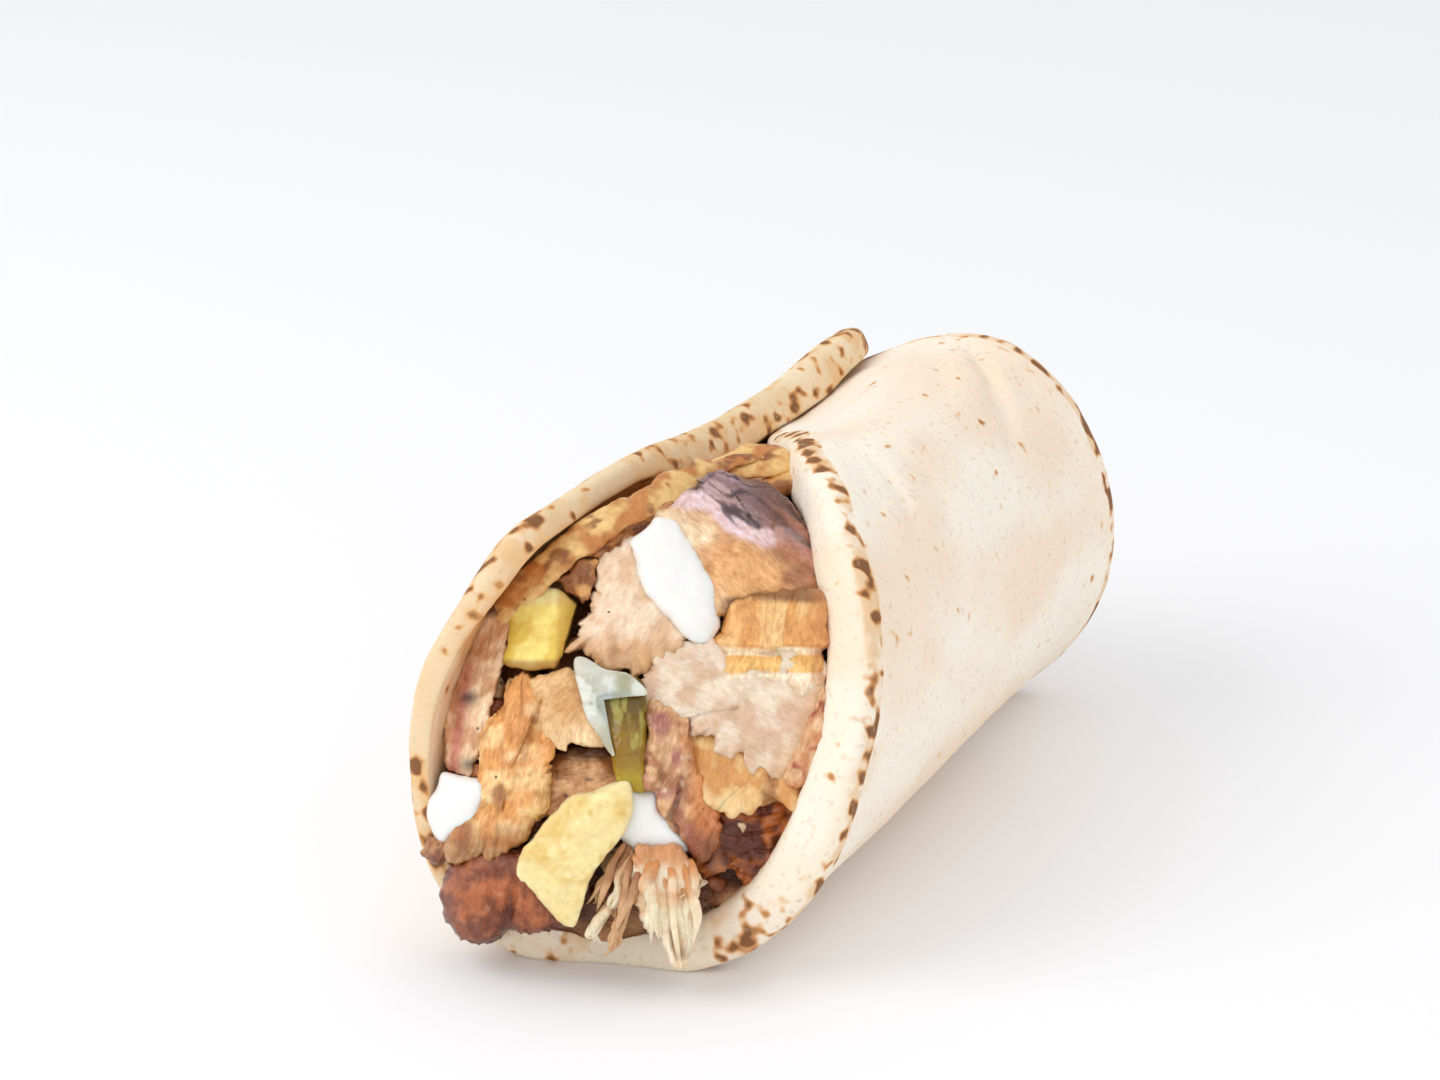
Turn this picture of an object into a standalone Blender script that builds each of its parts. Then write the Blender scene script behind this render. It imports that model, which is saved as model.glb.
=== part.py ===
"""Gyro wrap: a thick round pita rolled around sliced chicken, potato, pickle, onion and sauce.

The roll lies along +Y with its open, slanted mouth towards -Y, and rests on its flattened
underside. The pita is one sheet: its left flap ends in a long lip that lies over the right
flap, and its far end is tucked in to close the tube. Each piece of filling that shows in the
mouth is a solid of its own, laid on the bulging face of the filling core behind it.
Sizes in the tables are millimetres.
"""
import math
from typing import NamedTuple

import bmesh
import bpy
import numpy as np
from mathutils import Matrix, Vector, noise

MM = 0.001

# ---- driving dimensions of the rolled pita ----
FRONT_RADIUS = 32.4        # outside of the roll at the mouth
BACK_RADIUS = 32.0         # outside of the roll at the tucked end
ROLL_LENGTH = 129.0
TALL = 1.055               # the roll is this much taller than it is wide
SINK = 1.2                 # how much of the round underside is pressed flat
SHEET = 5.6                # thickness of the pita
RIM_OUT = 0.8              # the puffy rim stands this far outside the sheet
RIM_IN = 2.0               # and this far inside it
RIM_WIDTH = 11.0           # the rim has thinned down to the sheet this far in
RIM_POWER = 3.0            # the rim's section: 2 would be a round bead, more is flatter
LIP_LIFT = 2.9             # the left flap stands off the roll near the mouth
LIP_TIP = 1.2              # and its lip stands off the far end
TUCK_UNDER = 6.9           # the right flap dips this far to run under the lip
GAP = 0.35                 # clearance between separate pieces
WELD = 0.000003            # metres: corners closer than this are one

# Outline of the unrolled pita: (turn about the roll in degrees, distance along it).
# Turn 0 is the underside, positive to the right, 180 the top.
OUTLINE = [
    (0, 5), (25, 6.5), (50, 8.5), (73, 11.5), (89, 15.5), (105, 22.5), (117, 28), (130, 34), (144, 40),
    (158, 48), (170, 56), (181, 64), (192, 72), (205, 80), (220, 90), (234, 105), (232, 123), (180, 129),
    (90, 129), (0, 129), (-70, 129), (-115, 129), (-135, 129.5), (-150, 128), (-158, 121), (-156, 111),
    (-149, 98), (-147, 80), (-147, 60), (-145, 38), (-139, 18), (-121, 6), (-90, 1), (-60, -1), (-30, -1),
]
SHEET_CENTRE = (40, 64)
AROUND = 50                # columns round the sheet's outline
INNER_RINGS = 7            # rings between the sheet's centre and its rim

# ---- the mouth: the filling's face is laid out across it ----
ORIGIN_ALONG = 60.0        # the part's origin is on the underside, this far along the roll

MOUTH_CENTRE = Vector((0.0, 8.0, 33.0))
MOUTH_TURN = 26.0          # the mouth looks this far to the right of -Y
MOUTH_TIP = 20.8           # and this far up

# ---- finishes: colour, roughness ----
BREAD = ("bread", (0.90, 0.78, 0.62), 0.85)
CHICKEN = ("chicken", (0.60, 0.34, 0.15), 0.55)
PALE_CHICKEN = ("pale_chicken", (0.72, 0.52, 0.34), 0.6)
SEARED_CHICKEN = ("seared_chicken", (0.30, 0.10, 0.04), 0.45)
POTATO = ("potato", (0.82, 0.66, 0.22), 0.5)
PICKLE = ("pickle", (0.30, 0.30, 0.03), 0.3)
ONION = ("onion", (0.55, 0.55, 0.48), 0.3)
SAUCE = ("sauce", (0.92, 0.91, 0.88), 0.3)


class Piece(NamedTuple):
    """One piece of filling, as it lies on the mouth's face."""
    name: str
    finish: tuple
    at: tuple              # across and up the mouth, from its centre
    size: tuple            # width, height, depth
    turn: float = 0.0      # degrees anticlockwise
    taper: float = 0.0     # how much wider (+) its top is than its bottom
    bow: float = 0.0       # sideways bend of its middle
    proud: float = 0.0     # stands this far out of the face
    boxy: float = 4.0      # 2 is an ellipsoid, larger is squarer
    rough: float = 0.10    # unevenness, as a share of its size
    cuts: int = 2


# Listed from the foremost piece to the hindmost: each is cut clear of those before it.
PIECES = [
    Piece("sauce_top", SAUCE, (7.5, 26), (8.5, 20, 6), 20, -0.15, 1.0, 3.0, 2.4, 0.06, 3),
    Piece("onion_sliver", ONION, (-2, 11.3), (11, 4.2, 2.6), -22, 0, 0.6, 3.4, 3.0, 0.08),
    Piece("pickle", PICKLE, (0.8, 3), (8.5, 16, 3.4), 8, 0.55, 0.8, 3.0, 3.5, 0.05),
    Piece("potato_low", POTATO, (-7.5, -14), (12, 20, 9), -32, 0.25, 0.6, 3.2, 5.0, 0.05),
    Piece("sauce_left", SAUCE, (-25, -8), (7.5, 9.5, 6), -10, 0.1, 0, 2.0, 2.4, 0.12),
    Piece("potato_high", POTATO, (-12.6, 18.8), (10.6, 13, 9), -6, 0.08, 0, 1.2, 6.0, 0.04),
    Piece("chicken_mottled", CHICKEN, (8.2, -3.8), (9, 19, 6), 20, -0.1, -1.2, 2.2, 3.2, 0.10, 3),
    Piece("chicken_right_edge", CHICKEN, (27.2, 2.5), (5, 13, 5), 4, 0, 0, 1.6, 3.0, 0.12),
    Piece("chicken_pale_slice", PALE_CHICKEN, (15.8, 6.4), (28, 13, 5), -14, 0.1, 0, 1.4, 4.0, 0.12, 3),
    Piece("chicken_block", CHICKEN, (21.6, 16.4), (16, 12.5, 8), 3, 0.05, 0, 1.8, 6.0, 0.06),
    Piece("chicken_ruffled", PALE_CHICKEN, (18.6, -3.8), (18, 8.5, 5), -22, 0, 0, 1.0, 3.5, 0.12, 3),
    Piece("chicken_fan", PALE_CHICKEN, (-0.6, 21), (14, 18, 7), 8, -0.35, 0, 0.6, 4.0, 0.08, 3),
    Piece("chicken_golden", CHICKEN, (-17, -2), (9.5, 28, 8), -14, 0.15, 1.4, 1.6, 3.2, 0.12, 3),
    Piece("chicken_slab", PALE_CHICKEN, (-9.2, 6.8), (11.5, 10, 6), -12, 0.1, 0, 1.0, 4.5, 0.06),
    Piece("chicken_peppery", CHICKEN, (-6.2, -3), (11, 8.5, 6), 12, 0, 0, 0.4, 4.5, 0.08),
    Piece("sauce_middle", SAUCE, (3.6, -9.8), (8.5, 9, 6), 10, 0.1, 0, 0.4, 2.4, 0.10),
    Piece("chicken_dark", SEARED_CHICKEN, (19, -11.5), (17, 12, 8), 8, 0, 0, -1.0, 4.0, 0.10),
    Piece("chicken_torn", PALE_CHICKEN, (6.2, -21.4), (8.2, 17, 6), 4, 0.15, 0, 2.6, 3.4, 0.12),
    Piece("chicken_shred", PALE_CHICKEN, (-1.4, -20.4), (6.0, 15, 5), -8, 0.0, 0, 2.0, 3.0, 0.14),
    Piece("chicken_glazed", SEARED_CHICKEN, (-18.6, -20.8), (18.5, 13.5, 11), -8, 0, 0, 2.0, 3.2, 0.10),
    Piece("chicken_wall_strip", CHICKEN, (-23.4, 10), (7, 25, 8), -14, 0, 0.5, 0.6, 4.0, 0.08, 3),
    Piece("chicken_scrap_left", SEARED_CHICKEN, (-27.6, -14.4), (4.2, 3.6, 4), 0, 0, 0, 1.0, 3.0, 0.12),
    Piece("chicken_scrap_top", CHICKEN, (-7.6, 27), (5.4, 5.4, 5), 10, 0, 0, 0.6, 3.5, 0.12),
    Piece("chicken_top", CHICKEN, (16.0, 30.6), (24, 22, 12), -14, 0.15, 0.5, 0.8, 3.6, 0.08, 3),
    Piece("chicken_under_lip", SEARED_CHICKEN, (-2, 33), (15, 7, 6), 28, 0, 0, -0.4, 3.2, 0.10),
]
CORE_SETBACK = 7.5         # the core starts this far behind the filling's face
CORE_GAP = 1.2             # room between the core and the bread
CORE_END = ROLL_LENGTH - 18.0
CORE_SIDES = 26
CORE_ROWS = 6


def clear_scene():
    for obj in list(bpy.data.objects):
        bpy.data.objects.remove(obj, do_unlink=True)


def new_collection(name):
    collection = bpy.data.collections.new(name)
    bpy.context.scene.collection.children.link(collection)
    return collection


def material(finish):
    """Principled finish of one kind of food."""
    name, colour, roughness = finish
    if name in bpy.data.materials:
        return bpy.data.materials[name]
    made = bpy.data.materials.new(name)
    made.use_nodes = True
    shader = made.node_tree.nodes["Principled BSDF"]
    shader.inputs["Base Color"].default_value = (*colour, 1.0)
    shader.inputs["Roughness"].default_value = roughness
    shader.inputs["Metallic"].default_value = 0.0
    return made


def ease(x):
    """Smooth step from 0 to 1."""
    x = np.clip(x, 0.0, 1.0)
    return x * x * (3.0 - 2.0 * x)


def closed_curve(knots, count):
    """Catmull-Rom curve through the knots and back to the first, at equal shares of its length."""
    knots = np.array(knots, float)
    t = np.linspace(0.0, 1.0, 24, endpoint=False)[:, None]
    before, here = np.roll(knots, 1, axis=0), knots
    after, beyond = np.roll(knots, -1, axis=0), np.roll(knots, -2, axis=0)
    pieces = [
        0.5 * (2 * b + (c - a) * t + (2 * a - 5 * b + 4 * c - d) * t**2 + (3 * b - a - 3 * c + d) * t**3)
        for a, b, c, d in zip(before, here, after, beyond)
    ]
    fine = np.vstack(pieces + [knots[:1]])
    flat = fine * (math.radians(FRONT_RADIUS), 1.0)
    along = np.concatenate([[0.0], np.cumsum(np.linalg.norm(np.diff(flat, axis=0), axis=1))])
    wanted = np.linspace(0.0, along[-1], count, endpoint=False)
    return np.stack([np.interp(wanted, along, fine[:, k]) for k in (0, 1)], axis=1)


# ---------------------------------------------------------------- the rolled pita

def flap_offset(turn, along):
    """How far each flap stands off the round roll: the left one out, the right one in."""
    lift = LIP_LIFT * (ease((along - 6) / 16) - ease((along - 45) / 40))
    left = ease((-turn - 60) / 60) * lift
    tip = LIP_TIP * ease((along - 100) / 18) * ease((-turn - 115) / 35)
    right = TUCK_UNDER * ease((turn - 148) / 58) * (1 - 0.25 * ease((along - 90) / 30))
    return left + tip - right


def squareness(turn, along):
    """The roll slumps outwards at its lower left, near the mouth."""
    lower = np.cos(np.radians(turn)) > 0
    power = 2.0 + 0.55 * ease(-turn / 40) * ease((60 - along) / 60) * lower
    c, s = np.abs(np.cos(np.radians(turn))), np.abs(np.sin(np.radians(turn)))
    return (c**power + s**power) ** (-1 / power)


def roll_radius(along):
    return FRONT_RADIUS + (BACK_RADIUS - FRONT_RADIUS) * along / ROLL_LENGTH


def rolled(turn, along, height):
    """Point of the rolled sheet, height mm outside its outer face."""
    radius = roll_radius(along)
    out = radius * squareness(turn, along) + flap_offset(turn, along) + height
    x = out * np.sin(np.radians(turn))
    z = (radius - out * np.cos(np.radians(turn))) * TALL - SINK
    return np.stack([x, along + 0 * x, z], axis=-1)


def sheet_profile(grow):
    """Half section of the pita from its centre's outer face, round the rim, to its inner face.

    Rows of (share of the way to the rim, distance in from the edge, height of the face).
    """
    bead = (SHEET + RIM_OUT + RIM_IN) / 2
    middle = RIM_OUT - bead
    shares = np.linspace(0.0, 1.0, INNER_RINGS + 1)[:-1]
    steps = [RIM_WIDTH, RIM_WIDTH * 0.7, bead * 1.15]
    outer = [(s, RIM_WIDTH * 1.3, grow) for s in shares]
    outer += [(1.0, d, RIM_OUT * float(ease((RIM_WIDTH - d) / (RIM_WIDTH - bead))) + grow) for d in steps]
    arc = []
    for k in range(6):
        angle = math.radians(90 + 36 * k)
        inward, height = (
            math.copysign(abs(wave) ** (2 / RIM_POWER), wave) for wave in (math.cos(angle), math.sin(angle))
        )
        arc.append((1.0, bead + (bead + grow) * inward, middle + (bead + grow) * height))
    inner = [
        (1.0, d, -SHEET - RIM_IN * float(ease((RIM_WIDTH - d) / (RIM_WIDTH - bead))) - grow)
        for d in reversed(steps)
    ]
    inner += [(s, RIM_WIDTH * 1.3, -SHEET - grow) for s in reversed(shares)]
    return outer + arc + inner


def sheet_grid(grow):
    """Rings of points over the whole pita; the clearance cutter is the same sheet grown."""
    edge = closed_curve(OUTLINE, AROUND)
    scale = np.array([math.radians(FRONT_RADIUS), 1.0])
    ray = (np.array(SHEET_CENTRE, float) - edge) * scale
    reach = np.linalg.norm(ray, axis=1, keepdims=True)
    ray = ray / reach
    side = np.roll(edge, -1, axis=0) - np.roll(edge, 1, axis=0)
    side = side * scale
    side /= np.linalg.norm(side, axis=1, keepdims=True)
    square_on = np.abs(side[:, :1] * ray[:, 1:] - side[:, 1:] * ray[:, :1])
    slant = 1.0 / np.maximum(square_on, 0.55)
    rings = []
    for share, inward, height in sheet_profile(grow):
        distance = inward * slant + (1.0 - share) * (reach - inward * slant)
        flat = edge + ray * distance / scale
        overlapping = ease((flat[:, 1] - 72) / 14) * ease((-flat[:, 0] - 100) / 25)
        squeeze = np.where(height < -SHEET - grow, (height + SHEET + grow) * overlapping * 0.75, 0.0)
        rings.append(rolled(flat[:, 0], flat[:, 1], height - squeeze))
    return rings


def grid_mesh(name, rings):
    """Closed mesh from rings of points whose first and last rings close to a point."""
    mesh = bmesh.new()
    rows = [[mesh.verts.new(Vector(point) * MM) for point in ring] for ring in rings[1:-1]]
    first = mesh.verts.new(Vector(rings[0].mean(axis=0)) * MM)
    last = mesh.verts.new(Vector(rings[-1].mean(axis=0)) * MM)
    count = len(rows[0])
    for k in range(count):
        after = (k + 1) % count
        mesh.faces.new((first, rows[0][after], rows[0][k]))
        mesh.faces.new((last, rows[-1][k], rows[-1][after]))
        for low, high in zip(rows, rows[1:]):
            mesh.faces.new((low[k], low[after], high[after], high[k]))
    bmesh.ops.triangulate(mesh, faces=mesh.faces)
    bmesh.ops.recalc_face_normals(mesh, faces=mesh.faces)
    made = bpy.data.meshes.new(name)
    mesh.to_mesh(made)
    mesh.free()
    return made


def wall_inside(turn, along):
    """Radius of the bread's inner face, as seen from inside the roll."""
    turn = np.asarray(turn, float)
    under = np.where(turn < -110, turn + 360, turn)
    radius = roll_radius(along)
    outer_layer = radius * squareness(turn, along) + flap_offset(turn, along)
    inner_layer = radius * squareness(under, along) + flap_offset(under, along)
    return np.minimum(outer_layer, inner_layer) - SHEET


def core_mesh(name, grow):
    """Solid filling the roll from the slanted start to a flat end, clear of the bread."""
    angles = np.arange(CORE_SIDES) * 360.0 / CORE_SIDES - 180.0
    inset = CORE_GAP - grow
    radius = wall_inside(angles, 30.0) - inset
    start = core_start(*round_the_roll(angles, radius, 30.0)) - grow
    end = CORE_END + grow
    rings = []
    for share in (0.0, 0.35, 0.7):
        x, z = round_the_roll(angles, radius * share, 30.0)
        rings.append(np.stack([x, core_start(x, z) - grow, z], axis=-1))
    for share in np.linspace(0.0, 1.0, CORE_ROWS):
        along = start + (end - start) * share
        x, z = round_the_roll(angles, wall_inside(angles, along) - inset, along)
        rings.append(np.stack([x, along, z], axis=-1))
    for share in (0.7, 0.35, 0.0):
        x, z = round_the_roll(angles, (wall_inside(angles, end) - inset) * share, end)
        rings.append(np.stack([x, end + 0 * x, z], axis=-1))
    return grid_mesh(name, rings)


def round_the_roll(turn, radius, along):
    """Place across the roll and height of a point at a turn and radius."""
    x = radius * np.sin(np.radians(turn))
    z = (roll_radius(along) - radius * np.cos(np.radians(turn))) * TALL - SINK
    return x, z


# ---------------------------------------------------------------- the mouth's frame

def mouth_axes():
    """Unit vectors across, up and out of the mouth."""
    turn, tip = math.radians(MOUTH_TURN), math.radians(MOUTH_TIP)
    out = Vector((math.sin(turn) * math.cos(tip), -math.cos(turn) * math.cos(tip), math.sin(tip)))
    across = Vector((math.cos(turn), math.sin(turn), 0.0))
    return across, out.cross(across), out


def face_depth(across, up):
    """How far the filling's face stands out: it bulges low down, and falls back to the
    top and to the left wall."""
    return 3.0 - 0.0073 * (up + 18.0) ** 2 - 0.011 * min(across, 0.0) ** 2


def core_start(x, z):
    """Where the core begins, behind the filling's slanted face."""
    drop = z - MOUTH_CENTRE.z
    return MOUTH_CENTRE.y + 0.37 * x + 0.0055 * x * x + 0.80 * drop + 0.0114 * drop * drop + CORE_SETBACK


# ---------------------------------------------------------------- pieces of filling

def blank(cuts):
    """Cube with each side cut into strips, from -1 to 1."""
    mesh = bmesh.new()
    bmesh.ops.create_cube(mesh, size=2.0)
    bmesh.ops.subdivide_edges(mesh, edges=mesh.edges, cuts=cuts, use_grid_fill=True)
    return mesh


def lay_piece(piece, grow, origin):
    """Mesh of one piece, grown for a cutter, draped on the filling's face about its origin."""
    mesh = blank(piece.cuts)
    half = [side / 2 + grow for side in piece.size]
    seed = Vector((sum(map(ord, piece.name)) * 0.37, len(piece.name) * 1.3, 0.0))
    cos, sin = math.cos(math.radians(piece.turn)), math.sin(math.radians(piece.turn))
    for vert in mesh.verts:
        share = vert.co
        power = piece.boxy
        share = share / (sum(abs(c) ** power for c in share) ** (1 / power))
        bumps = 1.0 + piece.rough * (noise.noise(share * 1.7 + seed) + 0.5 * noise.noise(share * 3.9 + seed))
        x = half[0] * share.x * bumps * (1.0 + piece.taper * share.y) + piece.bow * (1.0 - share.y**2)
        y = half[1] * share.y * bumps
        z = half[2] * share.z * bumps
        across = piece.at[0] + x * cos - y * sin
        up = piece.at[1] + x * sin + y * cos
        out = face_depth(across, up) + piece.proud - piece.size[2] / 2 + z
        vert.co = (Vector((across, up, out)) - origin) * MM
    bmesh.ops.triangulate(mesh, faces=mesh.faces)
    bmesh.ops.recalc_face_normals(mesh, faces=mesh.faces)
    made = bpy.data.meshes.new(piece.name)
    mesh.to_mesh(made)
    mesh.free()
    return made


def place_in_mouth(obj, origin):
    """Put an object's origin at a place given across, up and out of the mouth."""
    across, up, out = mouth_axes()
    turn = Matrix((across, up, out)).transposed()
    obj.location = (MOUTH_CENTRE + turn @ origin) * MM
    obj.rotation_euler = turn.to_euler()


def piece_object(piece, grow, collection):
    middle = Vector((piece.at[0], piece.at[1], face_depth(*piece.at) + piece.proud - piece.size[2] / 2))
    obj = bpy.data.objects.new(piece.name, lay_piece(piece, grow, middle))
    collection.objects.link(obj)
    place_in_mouth(obj, middle)
    return obj


def boxes_meet(first, second):
    """Whether two objects' boxes overlap."""
    def box(obj):
        corners = np.array([obj.matrix_world @ Vector(c) for c in obj.bound_box])
        return corners.min(axis=0), corners.max(axis=0)
    (a, b), (c, d) = box(first), box(second)
    return bool(np.all(a < d) and np.all(c < b))


def cut(obj, cutters, operation="DIFFERENCE"):
    """Cut an object by others and keep its largest body."""
    bpy.context.view_layer.update()
    for cutter in cutters:
        if not boxes_meet(obj, cutter):
            continue
        modifier = obj.modifiers.new("cut", "BOOLEAN")
        modifier.operation = operation
        modifier.solver = "EXACT"
        modifier.object = cutter
        graph = bpy.context.evaluated_depsgraph_get()
        result = bpy.data.meshes.new_from_object(obj.evaluated_get(graph))
        obj.modifiers.clear()
        obj.data = result
        keep_largest(obj)


def keep_largest(obj):
    """Weld, drop slivers, and keep the body with the most volume."""
    mesh = bmesh.new()
    mesh.from_mesh(obj.data)
    bmesh.ops.remove_doubles(mesh, verts=mesh.verts, dist=WELD)
    bmesh.ops.dissolve_degenerate(mesh, edges=mesh.edges, dist=WELD)
    bmesh.ops.triangulate(mesh, faces=mesh.faces)
    islands, waiting = [], set(mesh.faces)
    while waiting:
        island, front = set(), [waiting.pop()]
        while front:
            face = front.pop()
            island.add(face)
            joined = [edge for edge in face.edges if len(edge.link_faces) == 2]
            for other in (other for edge in joined for other in edge.link_faces):
                if other in waiting:
                    waiting.discard(other)
                    front.append(other)
        islands.append(island)
    if len(islands) > 1:
        largest = max(islands, key=island_volume)
        loose = [face for island in islands if island is not largest for face in island]
        bmesh.ops.delete(mesh, geom=loose, context="FACES")
    mesh.to_mesh(obj.data)
    mesh.free()


def island_volume(faces):
    return abs(sum(f.verts[0].co.dot(f.verts[1].co.cross(f.verts[2].co)) for f in faces)) / 6


# ---------------------------------------------------------------- sub-parts

def make_bread(parts, cutters):
    """The rolled pita with its far end tucked in."""
    bread = bpy.data.objects.new("bread", grid_mesh("bread", sheet_grid(0.0)))
    parts.objects.link(bread)
    cut(bread, [make_table("table", 0.0, cutters)])
    cut(bread, [make_tuck(cutters)], "UNION")
    bread.data.materials.clear()
    bread.data.materials.append(material(BREAD))
    return bread


def make_tuck(cutters):
    """The folded end of the pita, just inside the far rim: an upper fold over a lower one."""
    angles = np.arange(40) * 9.0 - 180.0
    rings = []
    for depth, rows in ((0.0, (0.0, 0.3, 0.6, 0.85, 1.0)), (SHEET + 3.0, (1.0, 0.85, 0.6, 0.3, 0.0))):
        for share in rows:
            along = ROLL_LENGTH - 4.0 - depth - (1.5 * share**2 if depth == 0.0 else 0.0)
            radius = (wall_inside(angles, along) + SHEET * 0.45) * share
            x = radius * np.sin(np.radians(angles))
            z = (BACK_RADIUS - radius * np.cos(np.radians(angles))) * TALL - SINK
            level = z - MOUTH_CENTRE.z + 5 + 0.12 * x
            fold = 2.2 * ease(level / 3.0) if depth == 0.0 else 0.0
            rings.append(np.stack([x, along + fold + 0 * x, z], axis=-1))
    tuck = bpy.data.objects.new("tuck", grid_mesh("tuck", rings))
    cutters.objects.link(tuck)
    return tuck


def make_table(name, top, cutters):
    """Block whose top face is where the roll rests."""
    mesh = bmesh.new()
    bmesh.ops.create_cube(mesh, size=1.0)
    bmesh.ops.scale(mesh, vec=(200 * MM, 400 * MM, 40 * MM), verts=mesh.verts)
    made = bpy.data.meshes.new(name)
    mesh.to_mesh(made)
    mesh.free()
    table = bpy.data.objects.new(name, made)
    table.location = (0.0, 60 * MM, (top - 20) * MM)
    cutters.objects.link(table)
    return table


def make_core(parts, bread_room):
    """The filling that runs on through the roll behind the visible pieces."""
    core = bpy.data.objects.new("filling_core", core_mesh("filling_core", 0.0))
    parts.objects.link(core)
    cut(core, [bread_room])
    core.data.materials.clear()
    core.data.materials.append(material(SEARED_CHICKEN))
    return core


def make_pieces(parts, cutters, rooms):
    """Each visible piece of filling, cut clear of the bread, the core and those before it."""
    made = []
    for piece in PIECES:
        obj = piece_object(piece, 0.0, parts)
        cut(obj, rooms)
        obj.data.materials.clear()
        obj.data.materials.append(material(piece.finish))
        room = piece_object(piece, GAP, cutters)
        room.name = "room_" + piece.name
        rooms.append(room)
        made.append(obj)
    return made


def main():
    clear_scene()
    parts = new_collection("gyro_wrap")
    cutters = new_collection("cutters")
    root = bpy.data.objects.new("gyro_wrap", None)
    parts.objects.link(root)

    bread = make_bread(parts, cutters)
    bread_room = bpy.data.objects.new("room_bread", grid_mesh("room_bread", sheet_grid(GAP)))
    core_room = bpy.data.objects.new("room_core", core_mesh("room_core", GAP))
    for room in (bread_room, core_room):
        cutters.objects.link(room)
    table_room = make_table("room_table", 2 * GAP, cutters)
    core = make_core(parts, bread_room)
    pieces = make_pieces(parts, cutters, [bread_room, core_room, table_room])

    for obj in [bread, core] + pieces:
        obj.parent = root
    root.location = (0.0, -ORIGIN_ALONG * MM, 0.0)
    for obj in cutters.objects:
        obj.hide_render = True
        obj.display_type = "WIRE"
    bpy.context.view_layer.update()


main()
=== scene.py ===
# %% [markdown]
# # A gyro wrap, cell by cell
# A gyro wrap is a thick round pita rolled round slices of roast meat, fried potato, pickle,
# onion and a white yoghurt sauce. Here it lies on its side with its slanted mouth towards us.
# The fixed frame gives every solid its place. Each solid is then replaced by a surface that is
# worked out with numpy, because bread and torn meat have a relief that plain solids lack.
# Surfaces are worked out in millimetres, and scaled to metres when their mesh is made.

# %% Load the frame
import math

import bpy
import numpy as np
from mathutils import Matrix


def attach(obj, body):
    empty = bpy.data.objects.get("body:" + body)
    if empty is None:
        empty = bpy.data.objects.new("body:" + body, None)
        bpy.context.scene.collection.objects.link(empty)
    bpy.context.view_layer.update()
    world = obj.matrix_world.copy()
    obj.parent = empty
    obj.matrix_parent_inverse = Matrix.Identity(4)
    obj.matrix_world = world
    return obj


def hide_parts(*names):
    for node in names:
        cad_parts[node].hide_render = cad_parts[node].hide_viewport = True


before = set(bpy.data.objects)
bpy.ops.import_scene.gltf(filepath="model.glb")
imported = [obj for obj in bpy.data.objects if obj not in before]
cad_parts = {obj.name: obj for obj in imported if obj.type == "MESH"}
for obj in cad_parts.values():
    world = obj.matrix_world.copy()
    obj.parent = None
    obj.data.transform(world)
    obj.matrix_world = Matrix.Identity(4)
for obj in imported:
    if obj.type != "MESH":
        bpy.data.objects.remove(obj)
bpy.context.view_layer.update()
MM = 0.001
print("nodes:", sorted(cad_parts))

# %% [markdown]
# ## Tools for uneven things
# Nothing on food is smooth for long. Most of the relief and colour below comes from one tool:
# noise on a lattice. Each corner of a grid of cubes gets a random value, and a point reads the
# eight corners around it. Adding finer and weaker copies gives the broken look of real crumb
# and meat. Working in numpy means that a whole surface is done in one call.

# %% Lattice noise
def ease(x):
    """Smooth step: 0 below 0, 1 above 1, and 3x^2 - 2x^3 between."""
    x = np.clip(x, 0.0, 1.0)
    return x * x * (3.0 - 2.0 * x)


def corner_value(i, j, k, seed):
    """Random value from -1 to 1 at a lattice corner: the whole numbers are multiplied by large
    primes, and the bits are mixed."""
    h = (i * 374761393 + j * 668265263 + k * 1442695041 + seed * 974634777) & 0xFFFFFFFF
    h = ((h ^ (h >> 13)) * 1274126177) & 0xFFFFFFFF
    h = ((h ^ (h >> 16)) * 2246822519) & 0xFFFFFFFF
    return ((h ^ (h >> 13)) & 0xFFFF) / 32767.5 - 1.0


def noise(points, size, seed=0):
    """Noise at points, with lumps of the given size: the eight corner values, eased together."""
    at = np.asarray(points, float) / size
    low = np.floor(at).astype(np.int64)
    f = at - low
    f = f * f * (3 - 2 * f)
    total = 0.0
    for di in (0, 1):
        for dj in (0, 1):
            for dk in (0, 1):
                share = (np.abs(1 - di - f[..., 0]) * np.abs(1 - dj - f[..., 1])
                         * np.abs(1 - dk - f[..., 2]))
                corner = corner_value(low[..., 0] + di, low[..., 1] + dj, low[..., 2] + dk, seed)
                total = total + share * corner
    return total


def rough_noise(points, size, seed=0, layers=3):
    """Noise plus copies of half the size and half the strength."""
    return sum(noise(points, size / 2**n, seed + 31 * n) / 2**n for n in range(layers))


def colour(red, green, blue):
    """Linear colour from the 0-255 values that a paint chart gives."""
    c = np.array([red, green, blue], float) / 255.0
    return np.where(c <= 0.04045, c / 12.92, ((c + 0.055) / 1.055) ** 2.4)


def mix(first, second, share):
    """Blend two colours, point by point."""
    share = np.asarray(share)[..., None]
    return first * (1 - share) + second * share


sample = noise(np.random.default_rng(1).random((4000, 3)) * 90, 3)
print("nearly all of the noise lies between", *np.round(np.percentile(sample, (1, 99)), 2))

# %% [markdown]
# ## Closed surfaces from rings
# Bread and filling are both made the same way: as rings of points that start at a centre, grow
# to an edge, turn round it, and shrink to a centre again. Joining each ring to the next gives a
# closed skin with no seam. Each point can carry values of its own, such as a colour, that the
# material reads back.

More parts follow.
